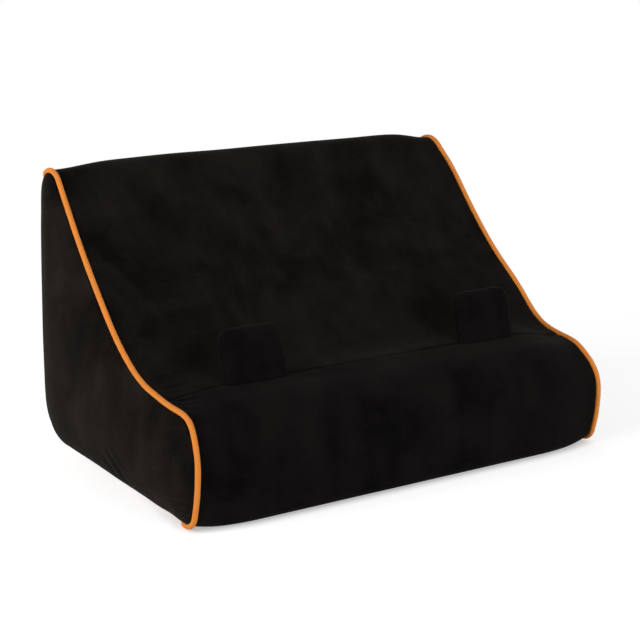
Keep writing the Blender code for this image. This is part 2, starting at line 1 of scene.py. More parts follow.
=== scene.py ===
"""Dresses a tablet cushion stand: a foam wedge in a suede-like cover with piped side seams, two padded
tabs and a zip across the back. All sizes are in metres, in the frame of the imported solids."""

import logging
import math
from dataclasses import dataclass, field
from enum import Enum

import bpy
import numpy as np
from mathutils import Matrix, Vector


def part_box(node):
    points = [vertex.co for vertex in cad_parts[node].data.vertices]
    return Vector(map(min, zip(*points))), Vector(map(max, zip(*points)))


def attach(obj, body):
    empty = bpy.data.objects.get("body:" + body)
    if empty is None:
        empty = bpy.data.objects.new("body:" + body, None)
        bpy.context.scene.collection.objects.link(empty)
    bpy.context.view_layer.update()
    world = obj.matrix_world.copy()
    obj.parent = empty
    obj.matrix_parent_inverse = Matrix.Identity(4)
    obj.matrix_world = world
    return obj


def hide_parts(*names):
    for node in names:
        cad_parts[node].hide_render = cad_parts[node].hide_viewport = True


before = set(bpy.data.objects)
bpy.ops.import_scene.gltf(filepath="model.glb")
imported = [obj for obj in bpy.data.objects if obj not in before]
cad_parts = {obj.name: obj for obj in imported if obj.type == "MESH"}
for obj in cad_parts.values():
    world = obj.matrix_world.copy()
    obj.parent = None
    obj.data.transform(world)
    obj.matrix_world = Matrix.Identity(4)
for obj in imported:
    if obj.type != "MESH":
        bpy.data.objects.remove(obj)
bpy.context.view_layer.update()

log = logging.getLogger("cushion_stand")

Array = np.ndarray
Pair = tuple[float, float]
Triple = tuple[float, float, float]  # A colour, a place or a turn
Piece = bpy.types.Object
Material = bpy.types.Material
NodeTree = bpy.types.NodeTree
Node = bpy.types.Node
Socket = bpy.types.NodeSocket
Value = float | Socket


class Side(Enum):
    """The two ends of the stand, as the sign of X."""

    LEFT = -1
    RIGHT = 1

    @property
    def label(self) -> str:
        """The side's name in small letters."""
        return self.name.lower()


def heading(angle: Array | float) -> Array:
    """Unit vectors in the outline's plane, cosine and sine of the angle from +Y."""
    return np.stack((np.cos(angle), np.sin(angle)), axis=-1)


def unit(vectors: Array) -> Array:
    """Vectors divided by their lengths along the last axis."""
    return vectors / np.linalg.norm(vectors, axis=-1, keepdims=True)


def full_turn(count: int) -> Array:
    """Evenly spaced angles round a circle, from 0."""
    return np.linspace(0.0, 2 * math.pi, count, endpoint=False)


def signed_power(value: Array, power: float) -> Array:
    """A value's size raised to a power, with its sign kept: the corner of a superellipse."""
    return np.sign(value) * np.abs(value) ** power


def rings_round(turn: Array, first: Array, second: Array) -> Array:
    """A unit circle at each point of a path: the cosine times one direction plus the sine times the other."""
    return np.cos(turn)[None, :, None] * first[:, None] + np.sin(turn)[None, :, None] * second[:, None]


def arc(centre: Array, radius: Array, start: Array, end: Array, count: int) -> Array:
    """Points on one arc for each column: the centre plus the radius times the heading of even angles.

    Args:
        centre: (n, 2) centres.
        radius: (n,) radii.
        start: First angle, for all or for each.
        end: Last angle, for all or for each.
        count: Points on each arc.

    Returns:
        (n, count, 2) points.
    """
    share = np.linspace(0.0, 1.0, count)
    first = np.broadcast_to(start, radius.shape)[:, None]
    last = np.broadcast_to(end, radius.shape)[:, None]
    return centre[:, None] + radius[:, None, None] * heading(first + (last - first) * share)


def line(start: Array, end: Array, count: int) -> Array:
    """Evenly spaced points from start to end, (n, count, 2) for (n, 2) ends."""
    share = np.linspace(0.0, 1.0, count)[None, :, None]
    return start[:, None] * (1 - share) + end[:, None] * share


def joined(*runs: Array) -> Array:
    """Runs of points end to end, each without the point that it shares with the run before."""
    return np.concatenate([runs[0], *(run[:, 1:] for run in runs[1:])], axis=1)


def lengths_along(points: Array) -> Array:
    """The distance along a line of points from its first, as the running sum of its steps."""
    steps = np.linalg.norm(np.diff(points, axis=0), axis=1)
    return np.concatenate(([0.0], np.cumsum(steps)))


def graded(length: float, fine: float, coarse: float, growth: float = 0.2, samples: int = 4000) -> Array:
    """Places from 0 to a length, fine at both ends: each step is the fine step plus growth times the
    distance to the nearer end, and at most the coarse step.

    Args:
        length: Whole length.
        fine: Step at the ends.
        coarse: Largest step.
        growth: How fast the step grows.
        samples: Points at which the step is worked out.

    Returns:
        The places, both ends included.
    """
    dense = np.linspace(0.0, length, samples)
    step = np.minimum(fine + growth * np.minimum(dense, length - dense), coarse)
    passed = np.concatenate(([0.0], np.cumsum((1 / step[1:] + 1 / step[:-1]) / 2 * np.diff(dense))))
    return np.interp(np.linspace(0.0, passed[-1], int(passed[-1]) + 2), passed, dense)


def taken_at(run: Array, places: Array) -> Array:
    """The run's columns read at the given lengths along its middle column, by linear steps between points."""
    middle = run[len(run) // 2]
    index = np.interp(places, lengths_along(middle), np.arange(len(middle)))
    low = np.clip(index.astype(int), 0, len(middle) - 2)
    share = (index - low)[None, :, None]
    return run[:, low] * (1 - share) + run[:, low + 1] * share


def smooth(value: Array | float) -> Array:
    """The S-curve 3t^2 - 2t^3 of a value held between 0 and 1."""
    held = np.clip(value, 0.0, 1.0)
    return held * held * (3 - 2 * held)


SINES = 5  # In each wavelength of the uneven ground
SINE_GAIN = 1.6  # Brings their mean up to about -1 to 1


def waves(points: Array, wavelengths: tuple[float, ...], seed: int) -> Array:
    """Uneven ground between about -1 and 1: a mean of sines, for each wavelength one in each seeded
    direction, of 2 pi times the distance along that direction over the wavelength, plus a phase.

    Args:
        points: (..., 3) points.
        wavelengths: Wavelengths in metres.
        seed: Seed of the directions and phases.

    Returns:
        (...) heights.
    """
    rng = np.random.default_rng(seed)
    total = np.zeros(points.shape[:-1])
    for wavelength in wavelengths:
        directions = rng.normal(size=(3, SINES))
        directions /= np.linalg.norm(directions, axis=0)
        phases = rng.uniform(0, 2 * math.pi, SINES)
        total += np.sin(2 * math.pi / wavelength * (points @ directions) + phases).mean(axis=-1)
    return total * SINE_GAIN / len(wavelengths)


def crease(points: Array, start: Triple, end: Triple, depth: float, width: float) -> Array:
    """The height of a short fold: a dip with a low ridge along each side, faded out at both ends.

    Across the fold the height is -depth (1 - q^2) exp(-q^2 / 2), with q the distance from it over its width.
    Along it the height is times exp(-s^4), with s the place from its middle over half its length.

    Args:
        points: (..., 3) points.
        start: One end of the fold.
        end: The other end.
        depth: Depth in the middle.
        width: Half width of the dip.

    Returns:
        (...) heights.
    """
    first, last = np.array(start), np.array(end)
    length = np.linalg.norm(last - first)
    direction = (last - first) / length
    from_middle = points - (first + last) / 2
    along = from_middle @ direction
    across = np.linalg.norm(from_middle - along[..., None] * direction, axis=-1) / width
    return -depth * (1 - across**2) * np.exp(-(across**2) / 2) * np.exp(-((2 * along / length) ** 4))


def normals_of(grid: Array) -> Array:
    """Unit normals of a grid of points: the cross product of its steps along columns and along rows."""
    across = np.gradient(grid, axis=0)
    along = np.gradient(grid, axis=1)
    normal = np.cross(across, along)
    return normal / np.maximum(np.linalg.norm(normal, axis=-1, keepdims=True), 1e-12)


def grid_faces(rows: int, columns: int, wrap_rows: bool = False, wrap_columns: bool = False) -> Array:
    """Corner numbers of a grid's squares, each from (i, j) by (i+1, j) and (i+1, j+1) to (i, j+1).

    Args:
        rows: Grid rows, i.
        columns: Grid columns, j.
        wrap_rows: Whether the last row joins the first.
        wrap_columns: Whether the last column joins the first.

    Returns:
        (squares, 4) numbers.
    """
    row, column = np.meshgrid(
        np.arange(rows if wrap_rows else rows - 1),
        np.arange(columns if wrap_columns else columns - 1),
        indexing="ij",
    )
    next_row, next_column = (row + 1) % rows, (column + 1) % columns
    corners = (
        row * columns + column,
        next_row * columns + column,
        next_row * columns + next_column,
        row * columns + next_column,
    )
    return np.stack([corner.ravel() for corner in corners], axis=1)


def mesh_piece(name: str, points: Array, faces: list[Array], smooth_shaded: bool = True) -> Piece:
    """A new object at the origin from points and arrays of faces.

    Args:
        name: Name of the object.
        points: (n, 3) points.
        faces: Arrays of corner numbers, each array with faces of one size.
        smooth_shaded: Whether the faces are shaded smooth.

    Returns:
        The object, linked to the scene.
    """
    mesh = bpy.data.meshes.new(name)
    corners = np.concatenate([group.ravel() for group in faces]).astype(np.int32)
    sizes = np.concatenate([np.full(len(group), group.shape[1]) for group in faces]).astype(np.int32)
    mesh.vertices.add(len(points))
    mesh.vertices.foreach_set("co", np.ascontiguousarray(points, dtype=np.float32).ravel())
    mesh.loops.add(len(corners))
    mesh.loops.foreach_set("vertex_index", corners)
    mesh.polygons.add(len(sizes))
    starts = np.concatenate(([0], np.cumsum(sizes)[:-1])).astype(np.int32)
    mesh.polygons.foreach_set("loop_start", starts)
    mesh.update(calc_edges=True)
    mesh.validate()
    if smooth_shaded:
        mesh.shade_smooth()
    piece = bpy.data.objects.new(name, mesh)
    bpy.context.scene.collection.objects.link(piece)
    return piece


def set_uv(piece: Piece, per_corner: Array) -> None:
    """Gives a piece a UV map in metres, from one pair for each face corner."""
    layer = piece.data.uv_layers.new(name="length_and_girth")
    layer.data.foreach_set("uv", np.ascontiguousarray(per_corner, dtype=np.float32).ravel())


def thickened(piece: Piece, thickness: float) -> None:
    """Gives a surface the cloth's thickness, inward."""
    wall = piece.modifiers.new("cloth_thickness", "SOLIDIFY")
    wall.thickness = thickness
    wall.offset = -1.0


class Nodes:
    """A small helper that adds and links nodes in one tree."""

    def __init__(self, tree: NodeTree) -> None:
        """Keeps the tree."""
        self.tree = tree

    def add(self, kind: str, inputs: dict | None = None, **settings: object) -> Node:
        """Adds a node.

        Args:
            kind: Blender's name of the node type.
            inputs: Values or sockets for its inputs, by name or number.
            **settings: Its own properties.

        Returns:
            The node.
        """
        node = self.tree.nodes.new(kind)
        for key, value in settings.items():
            setattr(node, key, value)
        for key, value in (inputs or {}).items():
            socket = node.inputs[key]
            if isinstance(value, Socket):
                self.tree.links.new(value, socket)
            else:
                socket.default_value = value
        return node

    def math(self, operation: str, first: Value, second: Value = 0.0, clamp: bool = False) -> Socket:
        """The output of a Math node on one or two values."""
        node = self.add("ShaderNodeMath", {0: first, 1: second}, operation=operation, use_clamp=clamp)
        return node.outputs[0]

    def weighed(self, first: Socket, second: Socket, share: float) -> Socket:
        """The first value times its share plus the second times the rest."""
        return self.math("ADD", self.math("MULTIPLY", first, share), self.math("MULTIPLY", second, 1 - share))

    def mapped(
        self, value: Value, low: Value, high: float, to_low: float = 0.0, to_high: float = 1.0
    ) -> Socket:
        """A value moved from one range to another and held there."""
        node = self.add(
            "ShaderNodeMapRange",
            {"Value": value, "From Min": low, "From Max": high, "To Min": to_low, "To Max": to_high},
        )
        return node.outputs["Result"]

    def noise(self, vector: Socket, scale: Value, detail: float = 2.0, roughness: float = 0.5) -> Socket:
        """The value of a Noise texture."""
        node = self.add(
            "ShaderNodeTexNoise",
            {"Vector": vector, "Scale": scale, "Detail": detail, "Roughness": roughness},
        )
        return node.outputs[0]

    def cells(self, vector: Socket, scale: float) -> Socket:
        """The distance from the nearest of scattered points."""
        return self.add("ShaderNodeTexVoronoi", {"Vector": vector, "Scale": scale}).outputs["Distance"]

    def stretched(self, vector: Socket, scale: Triple, turn: Triple = (0.0, 0.0, 0.0)) -> Socket:
        """A vector turned and scaled."""
        node = self.add("ShaderNodeMapping", {"Vector": vector, "Scale": scale, "Rotation": turn})
        return node.outputs[0]

    def mixed(self, share: Socket, first: Triple | Socket, second: Triple | Socket) -> Socket:
        """Two colours mixed by a share."""
        node = self.add("ShaderNodeMix", {0: share}, data_type="RGBA")
        for key, colour in ((6, first), (7, second)):
            if isinstance(colour, Socket):
                self.tree.links.new(colour, node.inputs[key])
            else:
                node.inputs[key].default_value = (*colour, 1.0)
        return node.outputs[2]

    def effect(self, group: NodeTree, place: Socket, **values: float) -> Node:
        """A shared effect at a place.

        Args:
            group: The effect's node group.
            place: The vector that it follows.
            **values: Its own values, with underscores for the spaces in their names.

        Returns:
            The group's node.
        """
        node = self.add("ShaderNodeGroup", node_tree=group)
        self.tree.links.new(place, node.inputs["Vector"])
        for key, value in values.items():
            node.inputs[key.replace("_", " ")].default_value = value
        return node

    def bump(self, shader: Node, height: Socket, distance: float, strength: float) -> None:
        """Gives a shader a height as its bump."""
        node = self.add("ShaderNodeBump", {"Height": height, "Distance": distance, "Strength": strength})
        self.tree.links.new(node.outputs[0], shader.inputs["Normal"])


FLOAT = "NodeSocketFloat"
VECTOR = "NodeSocketVector"


def new_group(name: str, inputs: dict[str, tuple], outputs: tuple[str, ...]) -> tuple[Nodes, Node, Node]:
    """An empty shader node group with its sockets.

    Args:
        name: Name of the group.
        inputs: Socket type and start value by name.
        outputs: Names of its outputs, which are all numbers.

    Returns:
        The helper of its nodes, its input node and its output node.
    """
    tree = bpy.data.node_groups.new(name, "ShaderNodeTree")
    for key, (kind, start) in inputs.items():
        socket = tree.interface.new_socket(name=key, in_out="INPUT", socket_type=kind)
        if start is not None:
            socket.default_value = start
    for key in outputs:
        tree.interface.new_socket(name=key, in_out="OUTPUT", socket_type=FLOAT)
    return Nodes(tree), tree.nodes.new("NodeGroupInput"), tree.nodes.new("NodeGroupOutput")


@dataclass
class Effects:
    """The shader node groups that the finishes share, each built once. Scales are per metre."""

    fibre_scale: float = 2600.0
    patch_scale: float = 22.0
    patch_distortion: float = 0.8
    pile_scale: float = 620.0
    stroke_scale: Triple = (55.0, 55.0, 9.0)
    stroke_turn: Triple = (0.0, 0.35, 0.0)
    patch_share: float = 0.6  # Of patches against strokes in the brushed tone
    brushed_range: Pair = (0.38, 0.62)
    grain_share: float = 0.9
    fibre_share: float = 0.6  # Of fibres against pile in the height
    rub_height: float = 0.022  # Up to which a lap rubs the cloth
    rub_floor: float = 0.002
    streak_scale: Triple = (260.0, 90.0, 420.0)
    streak_turn: Triple = (0.4, 0.0, 0.3)
    streak_range: Pair = (0.5, 0.72)
    speck_scale: float = 95.0
    speck_range: Pair = (0.055, 0.03)
    speck_patch_scale: float = 30.0
    speck_patch_range: Pair = (0.55, 0.68)
    thread_unevenness: Triple = (90.0, 90.0, 90.0)
    # Painted light and shade: in the weave's tone the raised crossings are lighter.
    crossing_share: float = 0.45  # Of the crossings against unevenness in the weave's tone
    edge_radius: float = 0.00022
    edge_range: Pair = (0.998, 0.95)
    chip_scale: float = 900.0
    chip_range: Pair = (0.48, 0.72)
    nap: NodeTree = field(init=False)
    lint: NodeTree = field(init=False)
    weave: NodeTree = field(init=False)
    wear: NodeTree = field(init=False)

    def __post_init__(self) -> None:
        """Builds every group."""
        self.nap = self._nap()
        self.lint = self._lint()
        self.weave = self._weave()
        self.wear = self._wear()

    def _nap(self) -> NodeTree:
        """Short suede nap: fine fibre noise for the height, and wide brushed patches for the tone."""
        make, given, out = new_group(
            "suede_nap",
            {
                "Vector": (VECTOR, None),
                "Fibre Scale": (FLOAT, self.fibre_scale),
                "Patch Scale": (FLOAT, self.patch_scale),
            },
            ("Tone", "Height"),
        )
        vector = given.outputs["Vector"]
        fibre = make.noise(vector, given.outputs["Fibre Scale"], 3.0, 0.7)
        pile = make.noise(vector, self.pile_scale, 3.0, 0.6)
        patch = make.noise(vector, given.outputs["Patch Scale"], 4.0, 0.55)
        patch.node.inputs["Distortion"].default_value = self.patch_distortion
        strokes = make.noise(make.stretched(vector, self.stroke_scale, self.stroke_turn), 1.0, 3.0, 0.6)
        toned = make.mapped(make.weighed(patch, strokes, self.patch_share), *self.brushed_range)
        grain = make.math("MULTIPLY", make.math("SUBTRACT", pile, 0.5), self.grain_share)
        make.tree.links.new(make.math("ADD", toned, grain, clamp=True), out.inputs["Tone"])
        make.tree.links.new(make.weighed(fibre, pile, self.fibre_share), out.inputs["Height"])
        return make.tree

    def _lint(self) -> NodeTree:
        """Pale fibres caught on the nap: sparse specks, and more low down, where a lap rubs the cloth."""
        make, given, out = new_group(
            "caught_lint",
            {
                "Vector": (VECTOR, None),
                "Height Of Rub": (FLOAT, self.rub_height),
                "Amount": (FLOAT, 0.5),
            },
            ("Mask",),
        )
        vector = given.outputs["Vector"]
        height = make.add("ShaderNodeSeparateXYZ", {0: vector}).outputs["Z"]
        near_floor = make.mapped(height, given.outputs["Height Of Rub"], self.rub_floor)
        streaks = make.noise(make.stretched(vector, self.streak_scale, self.streak_turn), 1.0, 4.0, 0.7)
        rubbed = make.math("MULTIPLY", near_floor, make.mapped(streaks, *self.streak_range))
        specks = make.mapped(make.cells(vector, self.speck_scale), *self.speck_range)
        patches = make.mapped(make.noise(vector, self.speck_patch_scale), *self.speck_patch_range)
        mask = make.math("MAXIMUM", rubbed, make.math("MULTIPLY", specks, patches))
        amount = make.math("MULTIPLY", mask, given.outputs["Amount"], clamp=True)
        make.tree.links.new(amount, out.inputs["Mask"])
        return make.tree

    def _weave(self) -> NodeTree:
        """Plain weave: two rows of threads, each the sine of its coordinate, that cross over and under.
        Its tone is partly its height, painted light on the raised threads and painted shade on the sunken
        ones, and partly random unevenness.
        """
        make, given, out = new_group(
            "plain_weave",
            {"Vector": (VECTOR, None), "Threads Per Metre": (FLOAT, 2200.0)},
            ("Height", "Tone"),
        )
        vector = given.outputs["Vector"]
        parts = make.add("ShaderNodeSeparateXYZ", {0: vector})
        turn = make.math("MULTIPLY", given.outputs["Threads Per Metre"], math.pi)
        warp = make.math("SINE", make.math("MULTIPLY", parts.outputs["X"], turn))
        weft = make.math("SINE", make.math("MULTIPLY", parts.outputs["Y"], turn))
        crossing = make.math("MULTIPLY", warp, weft)
        height = make.math("ADD", make.math("MULTIPLY", crossing, 0.5), 0.5)
        make.tree.links.new(height, out.inputs["Height"])
        uneven = make.noise(make.stretched(vector, self.thread_unevenness), 1.0, 3.0)
        # Painted light and shade: the tone follows the height, lighter where the threads stand up.
        make.tree.links.new(make.weighed(height, uneven, self.crossing_share), out.inputs["Tone"])
        return make.tree

    def _wear(self) -> NodeTree:
        """Rubbed edges: where a rounded normal turns away from the true one, broken up by noise."""
        make, given, out = new_group("edge_wear", {"Vector": (VECTOR, None)}, ("Mask",))
        rounded = make.add("ShaderNodeBevel", {"Radius": self.edge_radius}, samples=4).outputs[0]
        true_normal = make.add("ShaderNodeNewGeometry").outputs["Normal"]
        agreement = make.add("ShaderNodeVectorMath", {0: rounded, 1: true_normal}, operation="DOT_PRODUCT")
        chips = make.mapped(make.noise(given.outputs["Vector"], self.chip_scale, 3.0), *self.chip_range)
        edge = make.mapped(agreement.outputs["Value"], *self.edge_range)
        make.tree.links.new(make.math("MULTIPLY", edge, chips), out.inputs["Mask"])
        return make.tree


def new_material(name: str, roughness: float, **constants: object) -> tuple[Material, Nodes, Node, Socket]:
    """A material with a Principled shader whose constant values sit on its own sockets.

    Args:
        name: Name of the material.
        roughness: Roughness.
        **constants: Other socket values, with underscores for the spaces in their names.

    Returns:
        The material, its nodes' helper, its shader and its Object coordinates.
    """
    material = bpy.data.materials.new(name)
    material.use_nodes = True
    shader = material.node_tree.nodes["Principled BSDF"]
    shader.inputs["Roughness"].default_value = roughness
    for key, value in constants.items():
        shader.inputs[key.replace("_", " ")].default_value = value
    make = Nodes(material.node_tree)
    return material, make, shader, make.add("ShaderNodeTexCoord").outputs["Object"]


@dataclass(frozen=True)
class Suede:
    """Black suede-like microfibre with a short nap, lighter where the pile leans to the light."""

    name: str = "suede_cloth"
    brushed_down: Triple = (0.0028, 0.0023, 0.0024)
    brushed_up: Triple = (0.0092, 0.0077, 0.0074)
    shine: float = 0.03
    lint: Triple = (0.10, 0.085, 0.075)
    sheen_tint: Triple = (1.0, 0.93, 0.84)
    sheen: float = 0.022
    sheen_roughness: float = 0.45
    roughness: float = 0.92
    lint_amount: float = 0.04
    nap_depth: float = 0.00012
    nap_strength: float = 0.6

    def material(self, effects: Effects) -> Material:
        """Nap tone between the two colours, lint over it, and the nap's height as bump."""
        material, make, shader, place = new_material(
            self.name,
            self.roughness,
            Sheen_Weight=self.sheen,
            Sheen_Roughness=self.sheen_roughness,
            Sheen_Tint=(*self.sheen_tint, 1.0),
            Specular_IOR_Level=self.shine,
        )
        nap = make.effect(effects.nap, place)
        lint = make.effect(effects.lint, place, Amount=self.lint_amount)
        cloth = make.mixed(nap.outputs["Tone"], self.brushed_down, self.brushed_up)
        colour = make.mixed(lint.outputs["Mask"], cloth, self.lint)
        make.tree.links.new(colour, shader.inputs["Base Color"])
        make.bump(shader, nap.outputs["Height"], self.nap_depth, self.nap_strength)
        return material


@dataclass(frozen=True)
class PipingCloth:
    """Orange woven cotton cut on the bias and drawn over a cord."""

    name: str = "orange_piping"
    thread_light: Triple = (1.0, 0.345, 0.048)
    thread_dark: Triple = (0.94, 0.265, 0.032)
    roughness: float = 0.78
    sheen: float = 0.12
    sheen_roughness: float = 0.4
    shine: float = 0.3
    threads_per_metre: float = 2300.0
    bias: float = math.radians(45)
    weave_depth: float = 0.00005
    weave_strength: float = 0.7

    def material(self, effects: Effects) -> Material:
        """The weave turned on the bias along the cord's own map, in its tone, which is painted light on the
        raised threads, and in its height.
        """
        material, make, shader, place = new_material(
            self.name,
            self.roughness,
            Sheen_Weight=self.sheen,
            Sheen_Roughness=self.sheen_roughness,
            Specular_IOR_Level=self.shine,
        )
        along_cord = make.stretched(place.node.outputs["UV"], (1.0, 1.0, 1.0), (0.0, 0.0, self.bias))
        weave = make.effect(effects.weave, along_cord, Threads_Per_Metre=self.threads_per_metre)
        # Painted light and shade: the weave's tone puts the light thread colour on the raised threads.
        colour = make.mixed(weave.outputs["Tone"], self.thread_dark, self.thread_light)
        make.tree.links.new(colour, shader.inputs["Base Color"])
        make.bump(shader, weave.outputs["Height"], self.weave_depth, self.weave_strength)
        return material


@dataclass(frozen=True)
class Foam:
    """Grey open-cell foam."""

    name: str = "foam"
    skin: Triple = (0.46, 0.46, 0.44)
    # Painted shade in the hollow of each pore.
    pore: Triple = (0.20, 0.20, 0.19)
    roughness: float = 0.95
    shine: float = 0.2
    cells_per_metre: float = 900.0
    pore_range: Pair = (0.15, 0.5)
    cloud_scale: float = 40.0
    cell_depth: float = 0.0004
    cell_strength: float = 0.8

    def material(self) -> Material:
        """Round cells, dark in the pore as painted shade of its hollow and light on the skin between, with
        their depth as bump.
        """
        material, make, shader, place = new_material(
            self.name, self.roughness, Specular_IOR_Level=self.shine
        )
        open_cell = make.mapped(make.cells(place, self.cells_per_metre), *self.pore_range)
        clouds = make.mapped(make.noise(place, self.cloud_scale, 4.0), 0.2, 0.8, 0.7, 1.0)
        colour = make.mixed(make.math("MULTIPLY", open_cell, clouds), self.pore, self.skin)
        make.tree.links.new(colour, shader.inputs["Base Color"])
        make.bump(shader, open_cell, self.cell_depth, self.cell_strength)
        return material


@dataclass(frozen=True)
class Nylon:
    """Black nylon: woven for the zip's tapes, smooth for its coils, twisted for the thread."""

    name: str
    colour: Triple
    roughness: float
    threads_per_metre: float
    weave_depth: float
    # How much lighter the colour is where the weave's tone is high, partly painted light on the raised
    # threads.
    lightening: float = 2.2
    shine: float = 0.45
    weave_strength: float = 0.6

    def material(self, effects: Effects) -> Material:
        """The weave in the XZ plane of the tape, in its tone, which is painted light on the raised threads,
        and in its height.
        """
        material, make, shader, place = new_material(
            self.name, self.roughness, Specular_IOR_Level=self.shine
        )
        flat = make.stretched(place, (1.0, 1.0, 1.0), (math.radians(-90), 0.0, 0.0))
        weave = make.effect(effects.weave, flat, Threads_Per_Metre=self.threads_per_metre)
        light = tuple(channel * self.lightening for channel in self.colour)
        colour = make.mixed(weave.outputs["Tone"], self.colour, light)
        make.tree.links.new(colour, shader.inputs["Base Color"])
        make.bump(shader, weave.outputs["Height"], self.weave_depth, self.weave_strength)
        return material


@dataclass(frozen=True)
class Enamel:
    """Black enamel on zinc, rubbed through on its edges."""

    name: str = "zip_metal"
    enamel: Triple = (0.014, 0.014, 0.015)
    cloud: Triple = (0.03, 0.03, 0.031)
    cloud_scale: float = 700.0
    cloud_share: float = 0.35
    zinc: Triple = (0.42, 0.41, 0.39)
    roughness: float = 0.34
    smudge_scale: float = 1500.0
    smudge_range: Pair = (-0.06, 0.1)

    def material(self, effects: Effects) -> Material:
        """Enamel with zinc where the wear mask is white, which also makes it metallic there."""
        material, make, shader, place = new_material(self.name, self.roughness)
        mask = make.effect(effects.wear, place).outputs["Mask"]
        clouded = make.mapped(make.noise(place, self.cloud_scale, 3.0), 0.3, 0.7, 0.0, self.cloud_share)
        base = make.mixed(clouded, self.enamel, self.cloud)
        make.tree.links.new(make.mixed(mask, base, self.zinc), shader.inputs["Base Color"])
        make.tree.links.new(mask, shader.inputs["Metallic"])
        smoothest, roughest = (self.roughness + change for change in self.smudge_range)
        rough = make.mapped(make.noise(place, self.smudge_scale, 2.0), 0.3, 0.7, smoothest, roughest)
        make.tree.links.new(rough, shader.inputs["Roughness"])
        return material


@dataclass
class Finishes:
    """Every material of the stand."""

    effects: Effects
    suede: Material = field(init=False)
    slope_suede_painted_sheen: Material = field(init=False)
    side_suede: Material = field(init=False)
    piping: Material = field(init=False)
    foam: Material = field(init=False)
    tape: Material = field(init=False)
    coil: Material = field(init=False)
    thread: Material = field(init=False)
    metal: Material = field(init=False)

    def __post_init__(self) -> None:
        """Builds every material from its finish."""
        # Painted sheen: the slope's suede is the same black cloth in lighter colours, for the sheen of the
        # slope and ridge seen at a grazing angle.
        slope = Suede("slope_suede_painted_sheen", (0.0042, 0.0036, 0.0033), (0.0140, 0.0116, 0.0098))
        # Painted light: the sides' suede is the same black cloth in colours about twice as light, for the key
        # lamp's light on the left side.
        side = Suede("side_suede", (0.0060, 0.0049, 0.0040), (0.0195, 0.0157, 0.0118), lint_amount=0.6)
        tape = Nylon("zip_tape", (0.010, 0.010, 0.011), 0.75, 2600.0, 0.00008)
        coil = Nylon("zip_coil", (0.012, 0.012, 0.013), 0.38, 500.0, 0.00001)
        thread = Nylon("black_thread", (0.014, 0.013, 0.013), 0.6, 5000.0, 0.00004)
        self.suede = Suede().material(self.effects)
        self.slope_suede_painted_sheen = slope.material(self.effects)
        self.side_suede = side.material(self.effects)
        self.piping = PipingCloth().material(self.effects)
        self.foam = Foam().material()
        self.tape = tape.material(self.effects)
        self.coil = coil.material(self.effects)
        self.thread = thread.material(self.effects)
        self.metal = Enamel().material(self.effects)


def dressed(piece: Piece, material: Material, slot: str, *nodes: str) -> None:
    """Gives a piece of the cushion its material, hangs it under the cushion's body, and hides the solids it
    stands for.
    """
    piece.data.materials.clear()
    piece.data.materials.append(material)
    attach(piece, "cushion")
    if nodes:
        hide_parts(*nodes)
    log.info("%s stands for %s", piece.name, ", ".join(nodes) or "nothing in the solids")


